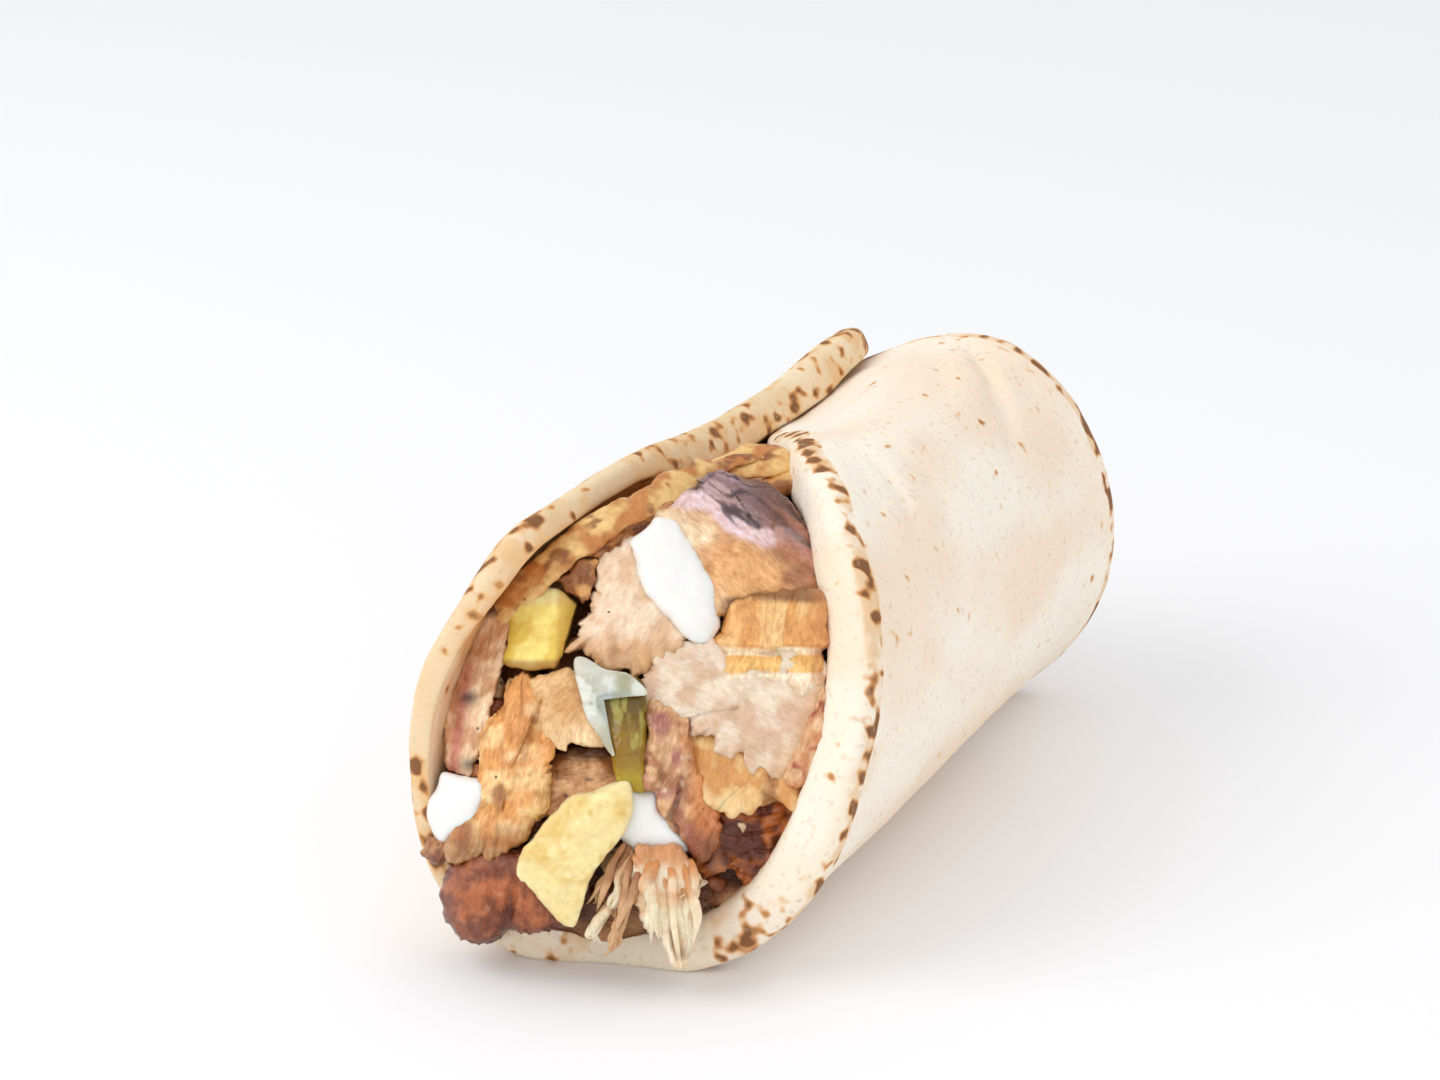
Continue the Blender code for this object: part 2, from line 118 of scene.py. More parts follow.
# %% Ring surfaces
def ring_surface(name, rings, values=None):
    """Mesh from an array of rings (row, place on the ring, xyz in millimetres). The first and
    last rings shrink to one point each."""
    rows, around, _ = rings.shape
    inner = rings[1:-1].reshape(-1, 3)
    verts = np.vstack([inner, rings[0].mean(axis=0), rings[-1].mean(axis=0)]) * MM
    row, col = np.meshgrid(np.arange(rows - 3), np.arange(around), indexing="ij")
    after = (col + 1) % around
    quads = np.stack([row * around + col, row * around + after,
                      (row + 1) * around + after, (row + 1) * around + col], axis=-1).reshape(-1, 4)
    k = np.arange(around)
    last = (rows - 3) * around
    first_fan = np.stack([np.full(around, len(inner)), (k + 1) % around, k], axis=-1)
    last_fan = np.stack([np.full(around, len(inner) + 1), last + k, last + (k + 1) % around], axis=-1)
    mesh = bpy.data.meshes.new(name)
    mesh.from_pydata(verts.tolist(), [], quads.tolist() + first_fan.tolist() + last_fan.tolist())
    if signed_volume(mesh) < 0:
        mesh.flip_normals()
    for key, value in (values or {}).items():
        store(mesh, key, value)
    mesh.shade_smooth()
    piece = bpy.data.objects.new(name, mesh)
    bpy.context.scene.collection.objects.link(piece)
    return piece


def signed_volume(mesh):
    """Six times the volume: positive if the faces look outwards. Each face adds the volume of
    the cone from the origin to its first three corners."""
    co = np.empty(len(mesh.vertices) * 3)
    mesh.vertices.foreach_get("co", co)
    co = co.reshape(-1, 3)
    mesh.calc_loop_triangles()
    tri = np.empty(len(mesh.loop_triangles) * 3, dtype=np.int32)
    mesh.loop_triangles.foreach_get("vertices", tri)
    a, b, c = (co[tri.reshape(-1, 3)[:, n]] for n in range(3))
    return float(np.einsum("ij,ij->i", a, np.cross(b, c)).sum())


def store(mesh, key, value):
    """Put one value or colour for each ring point on the mesh, as an attribute."""
    value = np.asarray(value, float)
    flat = value[1:-1].reshape(-1, *value.shape[2:])
    flat = np.concatenate([flat, value[0].mean(axis=0)[None], value[-1].mean(axis=0)[None]])
    if flat.ndim == 1:
        mesh.attributes.new(key, "FLOAT", "POINT").data.foreach_set("value", flat)
    else:
        rgba = np.hstack([flat, np.ones((len(flat), 1))])
        mesh.attributes.new(key, "FLOAT_COLOR", "POINT").data.foreach_set("color", rgba.ravel())

# %% [markdown]
# ## Directions, and smooth outlines
# Relief moves a point along its own outward direction, which the rings around it give. An
# outline is written as a few knots, and a smooth curve is drawn through them. The last helper
# ties a finished piece to the frame, and prints how many points it has.

# %% Directions and outlines
def ring_normals(rings):
    """Outward direction at each point: the cross product of the steps along and across the
    rings. An end takes the mean of the ring beside it."""
    across = np.roll(rings, -1, axis=1) - np.roll(rings, 1, axis=1)
    along = np.gradient(rings, axis=0)
    normal = np.cross(along, across)
    normal /= np.maximum(np.linalg.norm(normal, axis=2, keepdims=True), 1e-9)
    middle = rings.mean(axis=(0, 1))
    if np.sum(normal * (rings - middle)) < 0:
        normal = -normal
    for end, beside in ((0, 1), (-1, -2)):
        mean = normal[beside].mean(axis=0)
        normal[end] = mean / max(np.linalg.norm(mean), 1e-9)
    return normal


def closed_curve(knots, count, stretch=(1.0, 1.0)):
    """Smooth closed curve through the knots (Catmull-Rom), cut into equal steps."""
    knots = np.array(knots, float)
    t = np.linspace(0.0, 1.0, 24, endpoint=False)[:, None]
    before, after, beyond = (np.roll(knots, n, axis=0) for n in (1, -1, -2))
    parts = [0.5 * (2 * b + (c - a) * t + (2 * a - 5 * b + 4 * c - d) * t**2
                    + (3 * b - a - 3 * c + d) * t**3)
             for a, b, c, d in zip(before, knots, after, beyond)]
    fine = np.vstack(parts + [knots[:1]])
    steps = np.linalg.norm(np.diff(fine * stretch, axis=0), axis=1)
    along = np.concatenate([[0.0], np.cumsum(steps)])
    wanted = np.linspace(0.0, along[-1], count, endpoint=False)
    return np.stack([np.interp(wanted, along, fine[:, n]) for n in (0, 1)], axis=1)


def finish_piece(piece, node, material):
    """Tie a new piece to the frame: it rides on the body, stands for a node, and has a finish."""
    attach(piece, "root")
    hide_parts(node)
    piece.data.materials.append(material)
    print(f"{piece.name}: {len(piece.data.vertices)} points")


# %% [markdown]
# ## The pita's sheet, rolled up
# The pita is one round of soft bread. Unrolled, its outline is a curve in two measures: how far
# round the roll a point lies, in degrees, and how far along the roll. 0 degrees is underneath,
# positive is to the right. A height above the sheet is the third measure. One function bends
# all three into place: radius times sine across, minus radius times cosine up. The left flap
# lies outside the right one, and ends in a long lip.

# %% The rolled sheet
FRONT_RADIUS, BACK_RADIUS, ROLL_LENGTH = 32.4, 32.0, 129.0
TALL = 1.055                              # the roll is this much taller than it is wide
SINK = 1.2                                # the underside is pressed this flat
SHEET, RIM_OUT, RIM_IN, RIM_WIDTH = 5.6, 0.8, 2.0, 11.0
LIP_LIFT, LIP_TIP, TUCK_UNDER = 2.9, 1.2, 6.9
ORIGIN_ALONG = 60.0                       # the frame's origin lies this far along the roll
MOUTH_HEIGHT = 33.0                       # middle of the mouth above the table
STRETCH = (math.radians(FRONT_RADIUS), 1.0)     # mm to a degree round the roll, mm to a mm along
OUTLINE = [
    (0, 5), (25, 6.5), (50, 8.5), (73, 11.5), (89, 15.5), (105, 22.5), (117, 28), (130, 34), (144, 40),
    (158, 48), (170, 56), (181, 64), (192, 72), (205, 80), (220, 90), (234, 105), (232, 123), (180, 129),
    (90, 129), (0, 129), (-70, 129), (-115, 129), (-135, 129.5), (-150, 128), (-158, 121), (-156, 111),
    (-149, 98), (-147, 80), (-147, 60), (-145, 38), (-139, 18), (-121, 6), (-90, 1), (-60, -1), (-30, -1),
]
SHEET_CENTRE = (40, 64)


def flap_offset(turn, along):
    """How far each flap stands off the round roll: the left one out, the right one in."""
    lift = LIP_LIFT * (ease((along - 6) / 16) - ease((along - 45) / 40))
    left = ease((-turn - 60) / 60) * lift
    tip = LIP_TIP * ease((along - 100) / 18) * ease((-turn - 115) / 35)
    right = TUCK_UNDER * ease((turn - 148) / 58) * (1 - 0.25 * ease((along - 90) / 30))
    return left + tip - right


def squareness(turn, along):
    """The roll slumps outwards at its lower left, near the mouth: a circle whose power grows
    from 2 towards 2.55 there."""
    lower = np.cos(np.radians(turn)) > 0
    power = 2.0 + 0.55 * ease(-turn / 40) * ease((60 - along) / 60) * lower
    c, s = np.abs(np.cos(np.radians(turn))), np.abs(np.sin(np.radians(turn)))
    return (c**power + s**power) ** (-1 / power)


def roll_radius(along):
    """The round roll's radius changes evenly from the front to the back."""
    return FRONT_RADIUS + (BACK_RADIUS - FRONT_RADIUS) * along / ROLL_LENGTH


def rolled(turn, along, height):
    """Place of a point of the sheet, height mm outside its outer face."""
    radius = roll_radius(along)
    out = radius * squareness(turn, along) + flap_offset(turn, along) + height
    x = out * np.sin(np.radians(turn))
    z = (radius - out * np.cos(np.radians(turn))) * TALL - SINK
    return np.stack([x, along - ORIGIN_ALONG + 0 * x, z], axis=-1)


# %% [markdown]
# ## The puffy rim
# A pita's rim is thicker than its middle, because the round puffs up there as it bakes. The
# profile runs over the outer face, round a bead, and back along the inner face. Three things
# make it look baked: the bead swells and thins along the edge, the faces have shallow lumps and
# a few long creases, and the toasted spots sit on the bead's outer shoulder.

# %% Bread surface
AROUND, FACE_ROWS, RIM_ROWS, BEAD_ROWS = 560, 46, 16, 26
BEAD = (SHEET + RIM_OUT + RIM_IN) / 2
BEAD_POWER = 3.0                          # 2 would be a round bead, more is a flatter rim
RIM_START = RIM_WIDTH * 1.3               # the face turns into the rim this far in from the edge
LEAST_SQUARE = 0.55                       # sine of the sharpest angle that a ray may meet the edge at


def sheet_profile():
    """Rows of (share of the way to the rim, distance in from the edge, height, turn round the
    bead): the outer face, the bead as an arc from 90 to 270 degrees, and the inner face."""
    shares = np.linspace(0.0, 1.0, FACE_ROWS + 1)[:-1]
    steps = np.linspace(RIM_START, BEAD, RIM_ROWS + 1)[:-1]
    swell = ease((RIM_WIDTH - steps) / (RIM_WIDTH - BEAD))
    arc = np.radians(np.linspace(90, 270, BEAD_ROWS))
    flat = shares * 0
    face = np.stack([shares, flat + RIM_START, flat, flat], axis=1)
    rise = np.stack([steps * 0 + 1, steps, RIM_OUT * swell, swell * 60], axis=1)
    c, s = (np.sign(wave) * np.abs(wave) ** (2 / BEAD_POWER) for wave in (np.cos(arc), np.sin(arc)))
    bead = np.stack([arc * 0 + 1, BEAD + BEAD * c, RIM_OUT - BEAD + BEAD * s, np.degrees(arc)], axis=1)
    under = np.stack([steps * 0 + 1, steps, -SHEET - RIM_IN * swell, 360 - swell * 60], axis=1)
    inner = np.stack([shares, flat + RIM_START, flat - SHEET, flat + 360], axis=1)
    return np.vstack([face, rise, bead, under[::-1], inner[::-1]])


def crease(turn, along, at, heading, length, width):
    """Soft groove in the sheet: 1 along a line through a place, fading to its ends and sides."""
    du = np.radians(turn - at[0]) * FRONT_RADIUS
    dv = along - at[1]
    c, s = math.cos(math.radians(heading)), math.sin(math.radians(heading))
    along_line, off_line = du * c + dv * s, -du * s + dv * c
    bend = off_line + 0.012 * along_line**2
    return np.exp(-((along_line / length) ** 2) - (bend / width) ** 2)


CREASES = [                               # depth, (turn, along), heading, length, width
    (1.2, (152, 112), 58, 12, 1.6), (1.0, (140, 106), 52, 13, 2.0), (0.8, (162, 104), 66, 10, 1.8),
    (0.8, (141, 62), 32, 9, 1.5), (0.5, (128, 70), 25, 14, 2.6), (0.4, (100, 62), 12, 18, 3.2),
    (0.35, (84, 88), 70, 16, 2.4), (0.35, (112, 96), 82, 14, 2.0), (0.3, (70, 60), 78, 18, 2.6),
]

# %% [markdown]
# ## The whole sheet as rings
# Each ray runs from a point of the edge to the sheet's centre. Every row of the profile puts
# one point on each ray, so the rows become rings. The heights are then thinned, given lumps
# and creases, and everything is rolled up.

# %% The sheet as rings
def edge_rays():
    """The pita's wavy edge in (turn, along), the unit ray in mm from each point to the sheet's
    centre, its length, its slant to the edge, and the places round the edge."""
    edge = closed_curve(OUTLINE, AROUND, STRETCH)
    closed = np.vstack([edge, edge[:1]]) * STRETCH
    travelled = np.cumsum(np.linalg.norm(np.diff(closed, axis=0), axis=1))
    round_edge = np.stack([travelled, travelled * 0, travelled * 0], axis=1)
    waviness = 0.9 * noise(round_edge, 17, 5) + 0.35 * noise(round_edge, 5, 6)
    ray = (np.array(SHEET_CENTRE, float) - edge) * STRETCH
    reach = np.linalg.norm(ray, axis=1)[:, None]
    ray = ray / reach
    side = (np.roll(edge, -1, axis=0) - np.roll(edge, 1, axis=0)) * STRETCH
    side /= np.linalg.norm(side, axis=1)[:, None]
    square_on = np.abs(side[:, :1] * ray[:, 1:] - side[:, 1:] * ray[:, :1])
    slant = 1.0 / np.maximum(square_on, LEAST_SQUARE)
    edge = edge + ray * (waviness[:, None] * 0.6 + 0.3) / STRETCH
    return edge, ray, reach, slant, round_edge


def thinned(height, turn, along):
    """Heights with the rim made thinner: on its inside where the flaps overlap, and on both sides
    at the left of the mouth and at the lip's end."""
    overlapping = ease((along - 72) / 14) * ease((-turn - 100) / 25)
    left_front = ease((-turn - 45) / 30) * ease((75 - along) / 30)
    thinner = np.maximum(overlapping * 0.75, left_front * 0.95)
    height = height - np.where(height < -SHEET, (height + SHEET) * thinner, 0.0)
    lip_end = ease((along - 104) / 20) * ease((-turn - 125) / 20)
    return height * (1 - 0.36 * left_front - 0.25 * lip_end)


def face_lumps(place):
    """Shallow lumps of four sizes; the two middle ones are drawn out along the roll."""
    drawn_out = place * (1.0, 0.45, 1.0)
    return (0.36 * noise(place, 19, 11) + 0.22 * noise(drawn_out, 6, 12)
            + 0.10 * noise(drawn_out, 2.6, 14) + 0.05 * noise(place, 1.6, 13))


def bread_rings():
    """Rings of the whole pita, with the measures that the finish needs at each point."""
    edge, ray, reach, slant, round_edge = edge_rays()
    share, inward, height, bead_turn = (column[:, None, None] for column in sheet_profile().T)
    distance = inward * slant + (1.0 - share) * (reach - inward * slant)
    flat = edge + ray * distance / STRETCH
    turn, along = flat[..., 0], flat[..., 1]
    bead_turn = bead_turn[..., 0] + 0 * turn
    height = thinned(height[..., 0] + 0 * turn, turn, along)
    lumps = face_lumps(rolled(turn, along, height))
    grooves = sum(depth * crease(turn, along, at, heading, length, width)
                  for depth, at, heading, length, width in CREASES)
    half_turn = np.clip((bead_turn - 60) / 240, 0, 1) * 180
    swelling = np.sin(np.radians(half_turn)) * (0.35 * noise(round_edge, 9, 8) + 0.2)
    relief = np.where(bead_turn < 100, lumps - grooves, lumps * 0.6)
    outwards = np.where(bead_turn < 180, 0.6, -0.6)
    place = rolled(turn, along, height + relief + swelling * outwards)
    place[..., 2] = np.maximum(place[..., 2], 0.0)
    return place, turn, along, bead_turn


bread_place, turn, along, bead_turn = bread_rings()
box = np.round([bread_place.min(axis=(0, 1)), bread_place.max(axis=(0, 1))], 1)
print("bread box, mm:", *box)

# %% [markdown]
# ## Where the bread is toasted
# Two values drive the bread's finish. "tint" is the soft base colour: cream outside, golden
# where the inside has soaked up juice. "toast" says how many brown spots there are: most on the
# bead's outer shoulder, fewer on the bead, and hardly any on the flat faces. Both follow from
# where a point lies: its place, its turn round the bead, and its turn and way along the roll.

# %% Bread values
CREAM, PEACH, GOLD = colour(250, 240, 224), colour(245, 222, 196), colour(228, 180, 110)
SOAKED, RIM_WHITE, BAKED = colour(190, 124, 60), colour(248, 234, 210), colour(228, 200, 154)
LIP_ORANGE = colour(218, 152, 84)


def bread_tint(place, turn, along, bead_turn):
    """Cream with peach clouds, and peach painted shade towards the table, paler on the rim; golden
    then brown on the inner face; the lip's lower edge is toasted orange."""
    streaks = place * (1.0, 0.5, 1.0)
    clouds = ease(0.5 + 0.9 * rough_noise(streaks, 13, 21))
    # the height term is painted shade: the bread turns peach towards the table
    tint = mix(CREAM, PEACH, 0.8 * clouds + 0.45 * ease((26 - place[..., 2]) / 26))
    rim = ease((bead_turn - 80) / 30) * ease((250 - bead_turn) / 40)
    tint = mix(tint, RIM_WHITE, 0.7 * rim * ease(0.7 + noise(place, 9, 24)))
    baked = rim * ease((-turn - 20) / 40)
    tint = mix(tint, BAKED, baked * (0.75 + 0.25 * noise(place, 7, 26)))
    inside = ease((bead_turn - 215) / 60)
    tint = mix(tint, GOLD, inside * (0.75 + 0.2 * noise(place, 5, 22)))
    tint = mix(tint, SOAKED, inside * ease(0.2 + 0.8 * rough_noise(place, 4, 23)) * 0.7)
    lip_under = ease((-turn - 100) / 25) * ease((bead_turn - 165) / 55) * ease((92 - along) / 20)
    return mix(tint, LIP_ORANGE, lip_under * ease(0.55 + 1.1 * noise(place, 6, 25)) * 0.8)


def bread_toast(place, turn, along, bead_turn):
    """Spots are thickest on the shoulder of the bead, in clusters along the edge: each term is a
    bell curve over the turn round the bead, times the stretch of the edge that it belongs to."""
    clusters = ease(0.55 + 0.9 * noise(place, 9, 31))
    right = ease((turn - 30) / 30) * ease((205 - turn) / 20)
    shoulder = np.exp(-(((bead_turn - 100) / 26) ** 2)) * (0.6 + 0.4 * clusters + 0.55 * right)
    face = 0.8 * np.exp(-(((bead_turn - 165) / 55) ** 2)) * clusters * ease((100 - turn) / 30)
    left = 0.75 * ease((-turn - 30) / 30) * np.exp(-(((bead_turn - 140) / 60) ** 2)) * clusters
    lip = ease((-turn - 95) / 30) * np.exp(-(((bead_turn - 215) / 50) ** 2)) * (0.3 + 0.5 * clusters)
    far = 0.5 * np.exp(-(((along - 127) / 3.5) ** 2)) * clusters
    on_lip = ease((-turn - 60) / 40) * ease((125 - along) / 10)
    return np.clip(shoulder + 0.8 * face + lip + left + far, 0, 1.05 + 0.1 * right - 0.25 * on_lip)


tint = bread_tint(bread_place, turn, along, bead_turn)
toast = bread_toast(bread_place, turn, along, bead_turn)
bread = ring_surface("bread_sheet", bread_place, {"tint": tint, "toast": toast})
print("toasted share of the bread:", round(float((toast > 0.4).mean()), 3))

# %% [markdown]
# ## Node helpers
# A finish is a small net of nodes round one Principled shader. These helpers keep the nets
# short: one adds any node, the others a noise, a sum, a smooth range, a blend of two colours,
# or a new tone laid over the colour so far.

# %% Node helpers
BUMP_HEIGHT = 0.0007                      # metres from the lowest to the highest of a bump


def new_finish(name):
    """Material with an empty net but for its shader; returns the material, its net and shader."""
    material = bpy.data.materials.new(name)
    material.use_nodes = True
    return material, material.node_tree, material.node_tree.nodes["Principled BSDF"]


def node(net, kind, inputs=None, **settings):
    """Add a node, set its properties, and set or link its inputs."""
    made = net.nodes.new(kind)
    for key, value in settings.items():
        setattr(made, key, value)
    for key, value in (inputs or {}).items():
        if isinstance(value, bpy.types.NodeSocket):
            net.links.new(value, made.inputs[key])
        else:
            made.inputs[key].default_value = value
    return made


def node_noise(net, where, lumps, detail, output="Fac"):
    """Noise texture with so many lumps to the metre."""
    inputs = {"Vector": where, "Scale": lumps, "Detail": detail}
    return node(net, "ShaderNodeTexNoise", inputs).outputs[output]


def maths(net, operation, *values):
    """Sum, product or power of numbers or links."""
    return node(net, "ShaderNodeMath", dict(enumerate(values)), operation=operation).outputs[0]


def smooth_range(net, value, low, high):
    """Map a value smoothly from low..high to 0..1."""
    made = node(net, "ShaderNodeMapRange", {"Value": value, "From Min": low, "From Max": high},
                interpolation_type="SMOOTHSTEP")
    return made.outputs["Result"]


def blend(net, share, first, second, mode="MIX"):
    """Blend two colours or links by a share; MULTIPLY darkens the first by the second."""
    made = node(net, "ShaderNodeMix", data_type="RGBA", blend_type=mode)
    for socket, value in ((made.inputs[0], share), (made.inputs[6], first), (made.inputs[7], second)):
        if isinstance(value, bpy.types.NodeSocket):
            net.links.new(value, socket)
        else:
            socket.default_value = value
    return made.outputs[2]


def rgba(c):
    """Colour with an opacity of 1, as a socket takes it."""
    return (float(c[0]), float(c[1]), float(c[2]), 1.0)


def paint_over(net, base, share, strength, tone):
    """Lay a tone over the colour so far, where the share says so."""
    return blend(net, maths(net, "MULTIPLY", share, strength), base, rgba(tone))


# %% [markdown]
# ## Bread finish
# Toasted spots are too fine for the mesh, so the material draws them. A noise is raised by
# "toast", and cut at three levels: a low cut gives a wide golden halo, a middle one the brown
# spot inside it, and a high one its dark middle. The coordinates are pushed a little by a
# second noise, so that no spot is quite round. A coarser noise adds a soft golden blush, only
# where the bread is toasted, and fine pores cover it all.

# %% Bread finish
SPOT_CUTS = (                             # where a spot starts and is full, its tone, its strength
    (0.60, 0.69, colour(226, 174, 112), 0.7),
    (0.67, 0.72, colour(190, 126, 68), 0.8),
    (0.725, 0.78, colour(112, 74, 48), 0.8),
)
PUSH = (0.0007, 0.0007, 0.0007)           # metres
BLUSH_TONE, PORE_TONE = colour(228, 182, 124), colour(198, 176, 148)


def bread_finish():
    """Tint, blush, spots and pores over a rough, slightly translucent crumb."""
    material, net, shader = new_finish("bread")
    where = node(net, "ShaderNodeTexCoord").outputs["Object"]
    stir = node_noise(net, where, 420.0, 1.0, "Color")
    stirred = node(net, "ShaderNodeVectorMath", {0: stir, 1: PUSH}, operation="MULTIPLY").outputs[0]
    pushed = node(net, "ShaderNodeVectorMath", {0: where, 1: stirred}, operation="ADD").outputs[0]
    tint = node(net, "ShaderNodeAttribute", attribute_name="tint").outputs["Color"]
    toast = node(net, "ShaderNodeAttribute", attribute_name="toast").outputs["Fac"]
    blotch = node_noise(net, where, 170.0, 2.0)
    raised = maths(net, "ADD", blotch, maths(net, "MULTIPLY", toast, 0.16))
    blush = smooth_range(net, raised, 0.54, 0.74)
    blush = maths(net, "MULTIPLY", blush, smooth_range(net, toast, 0.02, 0.5))
    base = paint_over(net, tint, blush, 0.6, BLUSH_TONE)
    speck = node_noise(net, pushed, 380.0, 0.6)
    reach = maths(net, "ADD", speck, maths(net, "MULTIPLY", toast, 0.25))
    reach = maths(net, "SUBTRACT", reach, 0.105)
    for start, full, tone, strength in SPOT_CUTS:
        base = paint_over(net, base, smooth_range(net, reach, start, full), strength, tone)
    pores = node_noise(net, where, 900.0, 3.0)
    base = paint_over(net, base, smooth_range(net, pores, 0.57, 0.70), 0.30, PORE_TONE)
    net.links.new(base, shader.inputs["Base Color"])
    shader.inputs["Roughness"].default_value = 0.8
    shader.inputs["Specular IOR Level"].default_value = 0.25
    shader.inputs["Subsurface Weight"].default_value = 0.25
    shader.inputs["Subsurface Radius"].default_value = (1.0, 0.6, 0.35)
    shader.inputs["Subsurface Scale"].default_value = 0.002
    crumb = node_noise(net, where, 700.0, 4.0)
    bump = node(net, "ShaderNodeBump", {"Height": crumb, "Strength": 0.42, "Distance": BUMP_HEIGHT})
    net.links.new(bump.outputs["Normal"], shader.inputs["Normal"])
    return material


finish_piece(bread, "bread", bread_finish())

# %% [markdown]
# ## The mouth's own measures
# The filling shows in the roll's slanted mouth. Its pieces are easiest to place in measures of
# the mouth: across, up and out. The face of the filling isn't flat: it bulges low down and
# falls back to the top and to the left wall. Each piece is laid on that face like a tile on a
# hill, so its outline stays true when the mouth is looked into.

# %% The mouth
MOUTH_CENTRE = np.array([0.0, 8.0 - ORIGIN_ALONG, MOUTH_HEIGHT])
MOUTH_TURN, MOUTH_TIP = math.radians(26.0), math.radians(20.8)
MOUTH_OUT = np.array([math.sin(MOUTH_TURN) * math.cos(MOUTH_TIP),
                      -math.cos(MOUTH_TURN) * math.cos(MOUTH_TIP), math.sin(MOUTH_TIP)])
MOUTH_ACROSS = np.array([math.cos(MOUTH_TURN), math.sin(MOUTH_TURN), 0.0])
MOUTH_UP = np.cross(MOUTH_OUT, MOUTH_ACROSS)


def face_depth(across, up):
    """How far the filling's face stands out at a place: a parabola up the mouth, and another
    falling off to the left wall."""
    return 3.0 - 0.0073 * (up + 18.0) ** 2 - 0.011 * np.minimum(across, 0.0) ** 2


def lay(points, proud, tilt=(0.0, 0.0)):
    """Lay flat points (across, up, height above the face) on the face; tilt is the extra slope
    across and up, about the piece's middle."""
    middle = points[..., :2].mean(axis=(0, 1))
    lean = (points[..., 0] - middle[0]) * tilt[0] + (points[..., 1] - middle[1]) * tilt[1]
    out = face_depth(points[..., 0], points[..., 1]) + proud + lean + points[..., 2]
    return (MOUTH_CENTRE + points[..., :1] * MOUTH_ACROSS + points[..., 1:2] * MOUTH_UP
            + out[..., None] * MOUTH_OUT)


print("the mouth looks along", np.round(MOUTH_OUT, 3))

# %% [markdown]
# ## A slab of food
# Carved meat, potato and pickle are all slabs: an outline with a thickness and rounded sides.
# The side is a superellipse, |r|^p + |z|^p = 1: a power of 2 gives a pebble, and a large power
# a block with sharp edges. The outline is roughened for a torn edge. A height function then
# carves the fibres, pits and dents.

# %% Slab
def side_profile(half, reach, power, rows):
    """Half section from the front centre round the side to the back centre, in equal steps:
    r = sin(t)^(2/p), z = cos(t)^(2/p)."""
    t = np.linspace(0.0, np.pi, 3000)
    r = np.abs(np.sin(t)) ** (2 / power)
    z = np.sign(np.cos(t)) * np.abs(np.cos(t)) ** (2 / power) * half
    length = np.concatenate([[0.0], np.cumsum(np.hypot(np.diff(r * reach), np.diff(z)))])
    wanted = np.linspace(0.0, length[-1], rows)
    return np.interp(wanted, length, r), np.interp(wanted, length, z)


OVERLAP = 1.045                           # each piece runs this much under its neighbours


def slab(outline, thick, power=5.0, ragged=0.3, ragged_size=1.6, around=200, rows=64, seed=0):
    """Flat points of a slab: rings scaled from the outline about its middle, each ring at its
    profile's height below the front, which is at 0. The outline moves in and out by ragged mm."""
    edge = closed_curve(outline, around)
    middle = edge.mean(axis=0)
    spoke = (edge - middle) * OVERLAP
    length = np.linalg.norm(spoke, axis=1)[:, None]
    at_edge = np.hstack([edge, np.full((around, 1), seed * 7.3)])
    tear = ragged * (noise(at_edge, ragged_size, seed) + 0.6 * noise(at_edge, ragged_size / 2.3, seed + 1))
    spoke = spoke * (1 + tear[:, None] / length)
    share, height = side_profile(thick / 2, float(length.mean()), power, rows)
    flat = middle + share[:, None, None] * spoke
    depth = np.broadcast_to((height - thick / 2)[:, None, None], flat[..., :1].shape)
    return np.concatenate([flat, depth], axis=2)


def fibre_place(points, heading, seed):
    """Places measured along and across the fibres: turned to the heading, with a slow wander."""
    c, s = math.cos(math.radians(heading)), math.sin(math.radians(heading))
    along_fibre = points[..., 0] * c + points[..., 1] * s
    across_fibre = -points[..., 0] * s + points[..., 1] * c + 1.0 * noise(points, 6.0, seed + 5)
    return np.stack([along_fibre, across_fibre, points[..., 2] + seed * 1.7], axis=-1)


def strands(points, heading, seed, width=1.5, length=9.0):
    """Bundles of meat fibre, and the splits between them. A bundle is noise on coordinates that
    are stretched along the fibres; a split is 1 where a second noise crosses zero."""
    place = fibre_place(points, heading, seed)
    bundle = noise(place / (length, width, width * 1.5), 1.0, seed)
    bundle = bundle + 0.4 * noise(place / (length * 0.6, width * 0.5, width), 1.0, seed + 3)
    crossing = noise(place / (length * 1.3, width * 1.5, width * 2), 1.0, seed + 7)
    broken = ease(0.4 + 1.2 * noise(place, 3.5, seed + 9))
    split = ease(1.0 - np.abs(crossing) / 0.13) * broken
    return bundle, split


def carve(points, height):
    """Move each point along its outward direction by a height."""
    return points + ring_normals(points) * height[..., None]


def spot(points, at, size, heading=0.0):
    """Soft patch: 1 at a place on the mouth, falling off over an ellipse."""
    c, s = math.cos(math.radians(heading)), math.sin(math.radians(heading))
    dx, dy = points[..., 0] - at[0], points[..., 1] - at[1]
    return np.exp(-(((dx * c + dy * s) / size[0]) ** 2) - ((-dx * s + dy * c) / size[1]) ** 2)


# %% [markdown]
# ## Food finish
# One finish serves all the filling. Its colour is painted on the points, where it can follow
# the shape: browned edges, pale cores, seared tops. The nodes add what is finer than the mesh.
# Each point carries its own place measured along and across the fibres, so a noise on that
# place, squeezed along the fibres, draws the fine threads of meat in colour and in relief.

# %% Food finish
PEPPER_TONE = colour(84, 50, 30)
FIBROUS, EVEN = (0.7, 1.9, 1.9), (1.0, 1.0, 1.0)     # lumps in a mm along, across and deep


